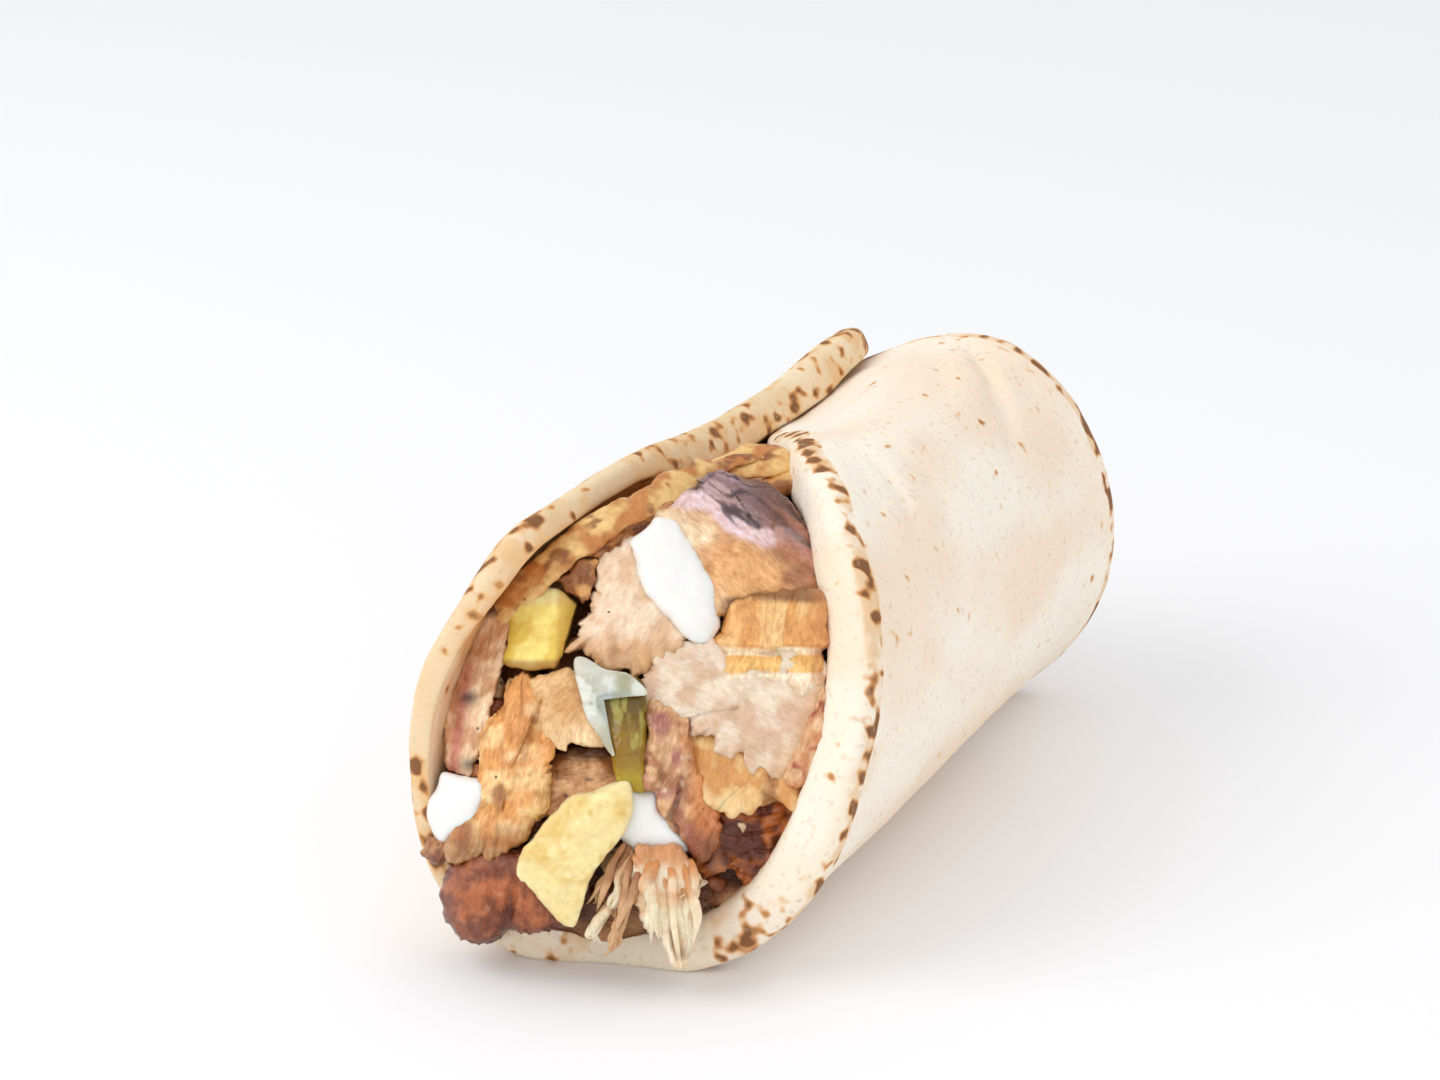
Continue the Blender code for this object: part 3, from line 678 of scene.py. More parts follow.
def food_finish(name, roughness, wet, scatter, scatter_size=0.0015, mottle=0.14, pepper=0.0, fine=0.25,
                threads=FIBROUS):
    """Painted colour with threads, mottle, pepper specks, broken gloss and light under the skin.
    threads is how many lumps of the thread noise there are in a mm along, across and deep."""
    material, net, shader = new_finish(name)
    where = node(net, "ShaderNodeTexCoord").outputs["Object"]
    tint = node(net, "ShaderNodeAttribute", attribute_name="tint").outputs["Color"]
    fibre = node(net, "ShaderNodeAttribute", attribute_name="fibre").outputs["Vector"]
    squeezed = node(net, "ShaderNodeVectorMath", {0: fibre, 1: threads}, operation="MULTIPLY").outputs[0]
    thread = node(net, "ShaderNodeTexNoise", {"Vector": squeezed, "Scale": 1.0, "Detail": 4.0,
                                              "Roughness": 0.6}).outputs["Fac"]
    cloud = node_noise(net, where, 520.0, 3.0)
    both = maths(net, "ADD", maths(net, "MULTIPLY", thread, 0.6), maths(net, "MULTIPLY", cloud, 0.4))
    shade = node(net, "ShaderNodeMapRange", {"Value": both, "From Min": 0.36, "From Max": 0.64,
                                             "To Min": 1 - mottle, "To Max": 1 + mottle}).outputs["Result"]
    green = maths(net, "POWER", shade, 1.5)
    blue = maths(net, "POWER", shade, 2.1)
    warm_shade = node(net, "ShaderNodeCombineColor", {0: shade, 1: green, 2: blue}).outputs[0]
    base = blend(net, 1.0, tint, warm_shade, "MULTIPLY")
    if pepper:
        cells = node(net, "ShaderNodeTexVoronoi", {"Vector": where, "Scale": 520.0, "Randomness": 1.0})
        luck = node(net, "ShaderNodeSeparateColor", {"Color": cells.outputs["Color"]}).outputs[1]
        size = maths(net, "MULTIPLY", smooth_range(net, luck, 1 - pepper, 1.0), 0.22)
        fleck = smooth_range(net, maths(net, "SUBTRACT", size, cells.outputs["Distance"]), -0.02, 0.03)
        base = paint_over(net, base, fleck, 0.8, PEPPER_TONE)
    net.links.new(base, shader.inputs["Base Color"])
    patches = node_noise(net, where, 260.0, 3.0)
    gloss = node(net, "ShaderNodeMapRange", {
        "Value": patches, "From Min": 0.4, "From Max": 0.62,
        "To Min": roughness, "To Max": roughness * wet}).outputs["Result"]
    net.links.new(gloss, shader.inputs["Roughness"])
    shader.inputs["Specular IOR Level"].default_value = 0.5
    shader.inputs["Subsurface Weight"].default_value = scatter
    shader.inputs["Subsurface Radius"].default_value = (1.0, 0.45, 0.25)
    shader.inputs["Subsurface Scale"].default_value = scatter_size
    bump = node(net, "ShaderNodeBump", {"Height": both, "Strength": fine, "Distance": BUMP_HEIGHT})
    net.links.new(bump.outputs["Normal"], shader.inputs["Normal"])
    return material


MEAT = food_finish("roast_chicken", 0.38, 0.4, 0.22, pepper=0.12, mottle=0.21, fine=0.85)
PALE_MEAT = food_finish("pale_chicken", 0.48, 0.5, 0.3, pepper=0.07, mottle=0.10, fine=0.7)
SEARED = food_finish("seared_chicken", 0.30, 0.5, 0.08, mottle=0.26, pepper=0.06, fine=0.7)
POTATO = food_finish("fried_potato", 0.45, 0.6, 0.3, mottle=0.07, fine=0.3, threads=EVEN)
PICKLE = food_finish("pickle", 0.22, 0.5, 0.35, 0.003, mottle=0.12, fine=0.15, threads=(0.3, 1.2, 1.2))
ONION = food_finish("onion", 0.2, 0.6, 0.45, 0.003, mottle=0.06, fine=0.1, threads=(0.2, 1.0, 1.0))
SAUCE = food_finish("yoghurt_sauce", 0.22, 0.8, 0.5, 0.002, mottle=0.01, fine=0.04, threads=EVEN)
print("food finishes:", [m.name for m in (MEAT, PALE_MEAT, SEARED, POTATO, PICKLE, ONION, SAUCE)])


# %% [markdown]
# ## The filling behind
# Behind the pieces that show, chopped filling runs on through the roll. It shows only in the
# dark gaps, so it is one body: a round face that follows the mouth's slant, sides that follow
# the bread's inner wall, and a flat far end. Lumps at three sizes make the face look chopped.

# %% Filling core
CORE_SETBACK, CORE_GAP, CORE_END = 6.2, 1.2, ROLL_LENGTH - 18.0
FACE_ALONG = 30.0                         # the face is as wide as the roll is inside here


def wall_inside(turn, along):
    """Radius of the bread's inner face: the lesser of the two flaps' radii, minus the sheet."""
    under = np.where(turn < -110, turn + 360, turn)
    outer_layer = roll_radius(along) * squareness(turn, along) + flap_offset(turn, along)
    inner_layer = roll_radius(along) * squareness(under, along) + flap_offset(under, along)
    return np.minimum(outer_layer, inner_layer) - SHEET


def core_start(x, z):
    """Where the core's slanted face starts along the roll: a slope and a curve each way."""
    up = z - MOUTH_HEIGHT
    return 8 + 0.37 * x + 0.0055 * x**2 + 0.80 * up + 0.0114 * up**2 + CORE_SETBACK


def across_roll(radius, turn, along):
    """x and z of a point that lies radius mm from the roll's axis: radius times sine across, and
    minus radius times cosine up."""
    x = radius * np.sin(np.radians(turn))
    z = (roll_radius(along) - radius * np.cos(np.radians(turn))) * TALL - SINK
    return x, z


def core_rings(around=240, face_rows=64, side_rows=40, end_rows=12):
    """Rings of the core: face, side and flat end."""
    turns = np.linspace(-180, 180, around, endpoint=False)
    radius = wall_inside(turns, FACE_ALONG) - CORE_GAP
    rows = []
    for share in np.linspace(0, 1, face_rows)[:-1]:
        x, z = across_roll(radius * share, turns, FACE_ALONG)
        rows.append(np.stack([x, core_start(x, z) - ORIGIN_ALONG, z], axis=-1))
    start = core_start(*across_roll(radius, turns, FACE_ALONG))
    for share in np.linspace(0, 1, side_rows):
        along = start + (CORE_END - start) * share
        x, z = across_roll(wall_inside(turns, along) - CORE_GAP, turns, along)
        rows.append(np.stack([x, along - ORIGIN_ALONG, z], axis=-1))
    end = np.full(around, CORE_END)
    for share in np.linspace(1, 0, end_rows)[1:]:
        x, z = across_roll((wall_inside(turns, end) - CORE_GAP) * share, turns, CORE_END)
        rows.append(np.stack([x, end - ORIGIN_ALONG, z], axis=-1))
    return np.array(rows)


core_place = core_rings()
lump = rough_noise(core_place, 5.5, 41, 4)
core_place = carve(core_place, 0.9 * np.clip(lump, -1, 0.6) - 0.6)
core_place[..., 2] = np.maximum(core_place[..., 2], SHEET)
RAW_BROWN, ROAST_BROWN, ROAST_TAN = colour(92, 48, 26), colour(140, 82, 44), colour(196, 146, 92)
# painted shade: the core is darkest brown in the hollows that the lumps carve, and roast brown on the lumps
core_tint = mix(RAW_BROWN, ROAST_BROWN, ease(0.5 + 0.7 * lump))
core_tint = mix(core_tint, ROAST_TAN, ease(noise(core_place, 4.0, 43) * 1.4 - 0.3))
core = ring_surface("chopped_filling", core_place, {"tint": core_tint, "fibre": core_place})
finish_piece(core, "filling_core", MEAT)

# %% [markdown]
# ## Chopped bits in the gaps
# Between the big pieces lie chips of meat a few millimetres across. They are one mesh: many
# small pebbles, turned at random, whose points are all worked out in a single array of
# (bit, row, place on the ring, xyz).

# %% Chopped bits
def many_rings(name, stack, values):
    """One mesh from a stack of equal ring surfaces (bit, row, place on the ring, xyz in mm)."""
    bits, rows, around, _ = stack.shape
    row, col = np.meshgrid(np.arange(rows - 1), np.arange(around), indexing="ij")
    after = (col + 1) % around
    quads = np.stack([row * around + col, row * around + after,
                      (row + 1) * around + after, (row + 1) * around + col], axis=-1).reshape(-1, 4)
    caps = np.array([np.arange(around)[::-1], (rows - 1) * around + np.arange(around)])
    shift = np.arange(bits)[:, None, None] * rows * around
    mesh = bpy.data.meshes.new(name)
    faces = (quads + shift).reshape(-1, 4).tolist() + (caps + shift).reshape(-1, around).tolist()
    mesh.from_pydata((stack.reshape(-1, 3) * MM).tolist(), [], faces)
    if signed_volume(mesh) < 0:
        mesh.flip_normals()
    for key, value in values.items():
        rgba_values = np.hstack([value.reshape(-1, 3), np.ones((bits * rows * around, 1))])
        mesh.attributes.new(key, "FLOAT_COLOR", "POINT").data.foreach_set("color", rgba_values.ravel())
    mesh.shade_smooth()
    piece = bpy.data.objects.new(name, mesh)
    bpy.context.scene.collection.objects.link(piece)
    return piece


BIT_RADII = ((1.4, 3.6), (1.0, 1.9), (0.8, 1.5))      # least and most, mm, three ways
BIT_TONES = np.array([colour(176, 112, 64), colour(206, 152, 98), colour(128, 70, 38),
                      colour(226, 190, 146)])


def chopped_bits(bits=110, rows=14, around=18):
    """Pebbles x = r sin(v) cos(u), y = r sin(v) sin(u), z = r cos(v), stretched, roughened,
    turned at random, and set on the core's slanted face."""
    chance = np.random.default_rng(7)
    v = np.linspace(0.12, np.pi - 0.12, rows)[:, None]
    u = np.linspace(0, 2 * np.pi, around, endpoint=False)[None, :]
    ball = np.stack([np.sin(v) * np.cos(u), np.sin(v) * np.sin(u), np.cos(v) + 0 * u], axis=-1)
    ball = np.sign(ball) * np.abs(ball) ** 0.75
    size = np.stack([chance.uniform(low, high, bits) for low, high in BIT_RADII], axis=1)
    turned, _ = np.linalg.qr(chance.normal(size=(bits, 3, 3)))
    turned = turned * np.linalg.det(turned)[:, None, None]
    turn = chance.uniform(-180, 180, bits)
    widest = wall_inside(turn, np.full(bits, FACE_ALONG)) - 4.0
    x, z = across_roll(np.sqrt(chance.uniform(0.0, 1.0, bits)) * widest, turn, FACE_ALONG)
    place = np.stack([x, core_start(x, z) - ORIGIN_ALONG - 0.6, z], axis=1)
    stack = ball[None] * size[:, None, None, :]
    stack = stack * (1 + 0.22 * rough_noise(stack + place[:, None, None, :] * 3.1, 1.6, 45)[..., None])
    stack = np.einsum("brcj,bjk->brck", stack, turned) + place[:, None, None, :]
    stack[..., 2] = np.maximum(stack[..., 2], SHEET)
    kind = chance.integers(0, 4, bits)
    tint = BIT_TONES[kind][:, None, None, :] * (1 + 0.18 * rough_noise(stack, 1.4, 46)[..., None])
    return stack, tint


bit_stack, bit_tint = chopped_bits()
bits_piece = many_rings("chopped_bits", bit_stack, {"tint": bit_tint, "fibre": bit_stack})
finish_piece(bits_piece, "filling_core", MEAT)

# %% [markdown]
# ## One recipe for a piece of filling
# Every piece follows the same steps: an outline in the mouth's measures, a slab from it, relief
# carved into the slab while it is still flat, paint worked out from the same flat points, and
# then the slab is laid on the face. The cells below give only what makes each piece itself.

# %% Piece recipe
TAN_MEAT, PINK_MEAT, CHAR = colour(214, 162, 108), colour(226, 178, 164), colour(58, 32, 22)
TEAR = 1.6                                # how much more ragged torn chicken is


def edge_share(points):
    """0 in the middle of a slab's front, 1 from the edge on: the row number, as a share."""
    rows = points.shape[0]
    row = np.arange(rows)[:, None] + np.zeros(points.shape[1])
    return np.clip(row / (rows - 1) * 2.0, 0, 1)


def add_piece(node_name, name, slot, material, outline, thick, proud, tilt=(0.0, 0.0), power=5.0,
              ragged=0.3, ragged_size=1.6, seed=0, around=220, rows=80, heading=0.0, relief=None,
              paint=None):
    """Slab, relief, paint, laying: the whole recipe. Chicken tears more raggedly than the rest."""
    torn = TEAR if "chicken" in slot else 1.0
    flat = slab(outline, thick, power, ragged * torn, ragged_size, around, rows, seed)
    height = relief(flat)
    tint = paint(flat, height)
    place = lay(carve(flat, height), proud, tilt)
    place[..., 2] = np.maximum(place[..., 2], 0.0)
    piece = ring_surface(name, place, {"tint": tint, "fibre": fibre_place(flat, heading, seed)})
    finish_piece(piece, node_name, material)
    return piece


def fibrous(heading, seed, depth=0.2, width=1.5, lumps=0.4, splits=0.45):
    """Make a relief: bundles of fibre with splits between them, on broad lumps."""
    def relief(points):
        bundle, split = strands(points, heading, seed, width)
        return bundle * depth - split * splits + 1.3 * lumps * rough_noise(points, 3.0, seed + 1, 4)
    return relief


def cracked(tint, points, heading, seed, dark, width=1.5, strength=0.35):
    """Paint shade on a tint: darker in the splits between the bundles, and between bundles that lie low."""
    bundle, split = strands(points, heading, seed, width)
    # painted shade in the splits and where the bundles lie low
    return mix(tint, dark, np.clip(split * strength + 0.25 * ease(-bundle * 1.6 - 0.2), 0, 1))


# %% [markdown]
# ## White sauce
# The yoghurt sauce is thick: it stands in smooth blobs whose sides are rounded like a pebble's,
# so its power is near 2. It is pure white, with a soft gloss and light under the surface. The
# long blob on top runs down between two pieces of chicken, and thins out at its lower end.

# %% Sauce
SAUCE_WHITE, SAUCE_THIN = colour(240, 239, 236), colour(240, 226, 206)


def sauce_relief(points):
    """Slow swells, and a few small peaks where the sauce broke off."""
    return 0.45 * noise(points, 5.0, 51) + 0.16 * noise(points, 2.2, 52)


def sauce_paint(points, height):
    """White, a little yellower where the sauce is thin towards its edge."""
    thin = ease(0.5 + noise(points, 4.0, 53)) * ease(edge_share(points) * 1.5 - 0.8)
    return mix(SAUCE_WHITE, SAUCE_THIN, 0.25 * thin)


SAUCE_TOP = [(4.5, 35), (7.5, 34), (9, 31.5), (11, 28.5), (12.5, 25.5), (13.5, 22), (14, 19),
             (12.5, 17), (10.5, 16.5), (8.5, 17.5), (6.5, 20), (3.5, 23.5), (2, 26), (1, 29.5),
             (0.5, 31), (2.5, 33)]
SAUCE_MIDDLE = [(-0.5, -4), (2.5, -4.5), (4.5, -4.5), (5.5, -7.5), (7.5, -10.5), (9.5, -13), (8, -14),
                (4.5, -13.5), (2, -14), (-0.5, -12), (-1, -10), (-0.5, -7)]
SAUCE_LEFT = [(-27, -3), (-24, -3.5), (-20.5, -4), (-20.5, -7), (-21.5, -10), (-24.5, -11.5),
              (-26, -12.5), (-27.5, -13), (-29, -11), (-29.5, -8), (-28, -5)]
for node_name, outline, thick, proud, tilt, seed in (
        ("sauce_top", SAUCE_TOP, 6.0, 3.0, (0.0, 0.06), 54),
        ("sauce_middle", SAUCE_MIDDLE, 5.0, 0.9, (0.0, 0.0), 57),
        ("sauce_left", SAUCE_LEFT, 6.0, 2.4, (0.0, 0.1), 60)):
    add_piece(node_name, node_name.replace("_", "_blob_"), "sauce", SAUCE, outline, thick, proud, tilt,
              power=2.6, ragged=0.3, ragged_size=2.6, seed=seed, relief=sauce_relief, paint=sauce_paint)

# %% [markdown]
# ## The chicken on top
# The biggest slice is a dome under the lip: dark, purple-grey skin at the top with its fibres
# running down to the right, a pink band of fat, then orange roast meat that pales to cream at
# the lower left. A thin dark crust runs along its lower edge.

# %% Top chicken
CHICKEN_TOP = [(12.5, 42.5), (16, 42), (18.5, 41), (22, 40), (25, 37), (27, 33), (28.5, 28.5),
               (29, 24.5), (28, 22.5), (21.5, 23), (18.5, 22), (16, 21.5), (13, 19), (9.5, 22.5),
               (6, 28.5), (3, 34.5), (2, 36.5), (5.5, 37.5), (9.5, 40)]


TURN_38 = np.array([[math.cos(math.radians(-38)), -math.sin(math.radians(-38)), 0],
                    [math.sin(math.radians(-38)), math.cos(math.radians(-38)), 0], [0, 0, 1]])


def top_relief(points):
    """A low dome with fibres, and narrow furrows in the skin at the top."""
    dome = 1.8 * spot(points, (17, 30), (10, 8)) - 0.9
    skin = ease((points[..., 1] + 0.35 * points[..., 0] - 38) / 3)
    bundle, split = strands(points, -38, 61, 1.1)
    return (dome + bundle * (0.12 + 0.16 * skin) - split * (0.12 + 0.45 * skin)
            + 0.42 * rough_noise(points, 3.2, 62, 4))


def top_paint(points, height):
    """Cream, orange, pink fat and dark skin follow each other up and to the right; painted shade darkens the
    skin where its bundles lie low, towards the right and in its splits, and darkens the dome's right side.
    """
    bundle, split = strands(points, -38, 61, 1.1)
    x, y = points[..., 0], points[..., 1]
    wander = noise(points, 4.0, 63)
    orange = ease((x - 8) / 8 + 0.35 * noise(points, 2.5, 64))
    tint = mix(colour(244, 216, 178), colour(230, 172, 112), orange)
    tint = mix(tint, colour(208, 142, 86), 0.6 * ease(noise(points, 3.0, 66) * 1.6 - 0.3))
    level = y + 0.42 * x + 1.3 * wander
    tint = mix(tint, colour(206, 150, 104), ease((level - 37) / 3) * 0.7)
    tint = mix(tint, colour(232, 200, 200), ease((level - 39.2) / 1.4))
    # painted shade on the skin: darker where the bundles lie low, towards the right, and in the splits
    skin = mix(colour(204, 168, 166), colour(142, 104, 106), ease(0.5 - 0.8 * bundle))
    skin = mix(skin, colour(104, 68, 70), 0.7 * ease((x - 13.5) / 7))
    skin = mix(skin, colour(54, 32, 34), np.clip(split * 1.4, 0, 1))
    tint = mix(tint, skin, ease((level - 42.3) / 1.2 + 0.4 * bundle))
    furrow = np.abs(noise((points @ TURN_38) * (0.14, 0.75, 0.4), 1.0, 67))
    lines = ease(1.5 - furrow / 0.13) * ease((level - 41.0) / 1.4) * ease((x - 9) / 4)
    tint = mix(tint, colour(58, 36, 40), lines * 0.85)
    # painted shade: the dome's right side turns dark brown
    right_side = ease((x - 21.0 + 0.30 * (y - 30)) / 3.5 + 0.4 * noise(points, 2.0, 65))
    tint = mix(tint, mix(colour(176, 110, 78), colour(98, 56, 44), ease(0.5 - bundle)), right_side * 0.8)
    crust = ease((23.6 - y + 0.5 * wander) / 0.8) * ease((x - 13) / 3)
    return mix(tint, colour(96, 56, 32), crust * 0.9)


add_piece("chicken_top", "top_chicken", "chicken", MEAT, CHICKEN_TOP, 12, 1.0, (-0.03, -0.12), seed=60,
          around=280, rows=100, heading=-38, relief=top_relief, paint=top_paint)

# %% [markdown]
# ## Chicken on the right: block and pale slice
# A golden block with upright fibres sits under the dome. It has an upper face, a yellow bar and
# a cream rim. Under it lies a pale slice, whose lower left edge is torn into scallops.

# %% Block and pale slice
CHICKEN_BLOCK = [(16, 21), (16.5, 22), (20.5, 22.5), (24, 23), (28, 23), (28.5, 19.5), (29, 15),
                 (29, 11), (26, 8.5), (24.5, 10.5), (23.5, 11), (16.5, 11), (14, 11), (13, 13),
                 (14, 16), (15.5, 17.5)]
PALE_SLICE = [(12.5, 17), (11.5, 16), (8, 15.5), (4, 13), (2.5, 9.5), (2.5, 8), (4, 6.5), (6, 6),
              (7.5, 5.5), (9.5, 6), (10, 3.5), (12, 3.5), (13.5, 2.5), (13.5, 1), (15, 0), (17, 0.5),
              (18, -2.5), (19.5, -1.5), (21.5, -3), (24, -3.5), (28, -2), (29, 2), (29, 9.5), (29, 14),
              (22.5, 15.5), (17, 14)]


def block_relief(points):
    """An upper face, a step along a bar, and a lower rim, with upright fibres."""
    bundle, split = strands(points, 84, 71, 1.2)
    y = points[..., 1] + 0.25 * noise(points, 3.0, 72)
    step = (1.0 * ease((y - 15.4) / 0.9) - 0.9 * spot(points, (20, 14.9), (8, 0.5))
            + 0.5 * ease((12.2 - y) / 0.6))
    return step + bundle * 0.12 - split * 0.15 + 0.24 * rough_noise(points, 2.4, 72, 4)


def block_paint(points, height):
    """From the top: dark line, golden face, pale ridge, yellow bar, cream rim."""
    bundle, _ = strands(points, 84, 71, 1.2)
    y = points[..., 1] + 0.25 * noise(points, 3.0, 72)
    top = mix(colour(222, 156, 84), colour(242, 196, 132), ease(0.5 + 0.8 * bundle))
    top = mix(top, colour(128, 74, 38), ease((y - 21.7) / 0.8) * 0.85)
    ridge = mix(colour(238, 186, 108), colour(252, 228, 190), ease((y - 14.4) / 0.5))
    rim = mix(ridge, colour(250, 226, 196), ease((12.3 - y) / 0.4))
    tint = mix(rim, top, ease((y - 15.5) / 0.6))
    return mix(tint, colour(206, 140, 84), ease((points[..., 0] - 26.5) / 2) * 0.6)


def pale_relief(points):
    """Shallow sheets that lift towards the torn edge, where ridges run inwards from each tooth."""
    bundle, split = strands(points, -28, 74, 1.6, 5.0)
    torn = ease(edge_share(points) * 1.8 - 1.0) * (1 - ease((points[..., 0] - 20) / 6))
    return (0.5 * rough_noise(points, 4.0, 73, 4) + bundle * (0.12 + 0.3 * torn) - split * 0.2
            - 0.5 * spot(points, (13, 8), (5, 1.0), -25) - 0.4 * spot(points, (20, 3), (6, 0.8), -30))


def pale_paint(points, height):
    """Cream, a little pink, with a browned edge, and tan on the right."""
    tint = mix(colour(236, 216, 192), colour(220, 186, 156), ease(0.5 + rough_noise(points, 3.0, 75)))
    tint = mix(tint, PINK_MEAT, 0.3 * ease(noise(points, 5.0, 76)))
    edge = ease(edge_share(points) * 4 - 3.4)
    tint = mix(tint, colour(226, 184, 142), edge * 0.5)
    return mix(tint, TAN_MEAT, 0.75 * ease((points[..., 0] - 21) / 5 - (points[..., 1] - 1) / 9))


add_piece("chicken_block", "golden_block", "chicken", MEAT, CHICKEN_BLOCK, 9, 2.0, (0.05, 0.06),
          seed=70, ragged=0.25, heading=84, relief=block_relief, paint=block_paint)
add_piece("chicken_pale_slice", "pale_slice", "pale_chicken", PALE_MEAT, PALE_SLICE, 5, 1.4,
          (0.02, 0.02), seed=71, around=280, ragged=0.4, ragged_size=1.0, heading=-28,
          relief=pale_relief, paint=pale_paint)

# %% [markdown]
# ## Chicken on the right: edge and ruffles
# A tan piece with red patches fills the gap to the right wall. The ruffled slice beside it is
# thin, so it hangs in soft folds that end in lobes.

# %% Right edge and ruffled slice
RIGHT_EDGE = [(29, 10), (28, 8), (26.5, 5.5), (25.5, 2.5), (24, -1), (23.5, -3.5), (25.5, -4), (28, -3),
              (29, 0), (29.5, 5.5)]
RUFFLED = [(9.5, 2.5), (13.5, 3), (17.5, 0.5), (21.5, -2), (26.5, -2.5), (27, -8), (25, -8), (23.5, -7),
           (22, -6.5), (20, -7), (18.5, -8), (17, -7), (15.5, -8), (13.5, -7), (13, -7.5), (11.5, -5.5),
           (10, -1.5)]


def edge_paint(points, height):
    """Tan, with patches of red."""
    tint = mix(colour(224, 176, 130), colour(206, 138, 92), ease(0.5 + rough_noise(points, 2.2, 77)))
    return mix(tint, colour(164, 74, 48), ease(noise(points, 1.3, 78) * 2.2 - 0.9))


def ruffled_relief(points):
    """Soft folds that run down to the lobes of the lower edge."""
    fold = noise(points * (0.42, 0.12, 0.3), 1.0, 79) * ease((0.5 - points[..., 1]) / 5)
    bundle, split = strands(points, 78, 81, 1.3)
    return 0.8 * fold + bundle * 0.12 - split * 0.15 + 0.25 * rough_noise(points, 2.8, 80, 4)


def ruffled_paint(points, height):
    """Pale gold, with brown painted shade in the hollows of the folds and a cream painted highlight on their
    tops.
    """
    tint = mix(colour(238, 196, 134), colour(214, 152, 84), ease(0.5 + rough_noise(points, 2.6, 82)))
    # painted shade: brown where the folds sink in
    tint = mix(tint, colour(168, 104, 52), ease(-height * 1.6 - 0.1))
    # painted highlight: cream where the folds stand out
    return mix(tint, colour(246, 216, 164), ease(height * 1.6 - 0.3) * 0.8)


add_piece("chicken_right_edge", "right_edge_meat", "chicken", MEAT, RIGHT_EDGE, 6, 2.2, (0.1, 0.0),
          seed=72, heading=70, relief=fibrous(70, 87), paint=edge_paint)
add_piece("chicken_ruffled", "ruffled_slice", "pale_chicken", PALE_MEAT, RUFFLED, 5, 0.6, (0.0, -0.15),
          seed=73, heading=78, relief=ruffled_relief, paint=ruffled_paint)

# %% [markdown]
# ## Chicken on the right: mottled and dark
# The mottled slice stands beside the pickle, brown and mauve with pale flecks. In the cavity
# at its right lies dark meat, wet with juice.

# %% Mottled and dark meat
MOTTLED = [(3.5, 7.5), (6, 7.5), (9.5, 6.5), (10, 2.5), (10.5, -1), (12, -5), (13.5, -8), (13.5, -13),
           (11.5, -14.5), (9, -13.5), (7, -11), (5.5, -8.5), (4.5, -5), (3, -4.5), (2.5, -1), (3, 3.5)]
DARK = [(12, -6.5), (17, -6.5), (23.5, -6), (27, -7), (26.5, -12.5), (25.5, -16), (23.5, -15.5),
        (21.5, -17.5), (18.5, -18), (16, -17), (13, -17), (10, -16), (10, -13), (11, -9)]


def mottled_paint(points, height):
    """Tan with mauve patches, pale flecks, an orange right side, a red-brown foot, and painted shade in the
    splits.
    """
    tint = mix(colour(180, 120, 82), colour(228, 180, 132), ease(0.5 + rough_noise(points, 2.0, 83, 4)))
    tint = mix(tint, colour(168, 100, 96), ease(noise(points, 2.6, 84) * 2.2 - 0.2) * 0.75)
    tint = mix(tint, colour(240, 216, 186), ease(noise(points, 1.2, 89) * 2.4 - 1.3) * 0.6)
    right = ease((points[..., 0] - 8.0) / 3 + 0.3 * noise(points, 2.0, 90))
    tint = mix(tint, colour(214, 132, 66), right * 0.75)
    tint = mix(tint, colour(118, 54, 32), ease((-9.0 - points[..., 1]) / 4) * 0.75)
    # painted shade in the splits between the fibre bundles
    return cracked(tint, points, 70, 83, colour(96, 46, 32))


def dark_paint(points, height):
    """Dark brown, with painted shade at the top and a painted highlight on what stands out, with tan flecks.
    """
    # painted highlight: the lighter brown grows with the height of the relief
    tint = mix(colour(92, 38, 16), colour(170, 92, 38),
               ease(0.45 + rough_noise(points, 2.6, 85) + 0.6 * height))
    shaded = ease((-9.2 + points[..., 1] + 0.15 * points[..., 0] + 4.5) / 3)
    tint = mix(tint, colour(68, 30, 20), shaded * 0.8)
    return mix(tint, colour(214, 140, 84), ease(noise(points, 3.4, 86) * 1.8 - 0.7) * 0.8)


add_piece("chicken_mottled", "mottled_slice", "chicken", MEAT, MOTTLED, 8, 1.6, (-0.1, 0.0), seed=74,
          ragged=0.45, heading=70, relief=fibrous(70, 83, 0.2), paint=mottled_paint)
add_piece("chicken_dark", "dark_meat", "seared_chicken", SEARED, DARK, 8, -1.6, (0.0, 0.15), seed=75,
          ragged=0.5, heading=20, relief=fibrous(20, 88, 0.2, 1.8, 0.7), paint=dark_paint)

# %% [markdown]
# ## Pickle and onion
# The pickle is a wedge with a skin: olive and dark above, brighter green-yellow below, and
# glossy. A thin, grey-white sliver of onion lies over its top and runs down its left side.

# %% Pickle and onion
PICKLE_WEDGE = [(-4.5, 11), (-1, 11), (2.5, 10.5), (3, 6.5), (3, -0.5), (3, -4.5), (1, -4.5),
                (-0.5, -3.5), (-1.5, 0), (-3, 3), (-4.5, 6), (-5, 9)]
ONION_SLIVER = [(-7, 14), (-4.5, 13.5), (-2.5, 12.5), (1, 11.5), (2.5, 10), (2.5, 9), (-1, 9.5),
                (-3.5, 9), (-4, 7.5), (-2.5, 4.5), (-1.5, 1), (-2, 1), (-3.5, 3), (-5.5, 6), (-6.5, 9),
                (-7, 11.5)]


def pickle_relief(points):
    """A bevelled ridge down the wedge, and fine warts."""
    ridge = 0.6 * spot(points, (-0.2, 2), (1.6, 7), -8)
    return ridge + 0.1 * rough_noise(points, 1.6, 91) + 0.15 * noise(points, 4.0, 92)


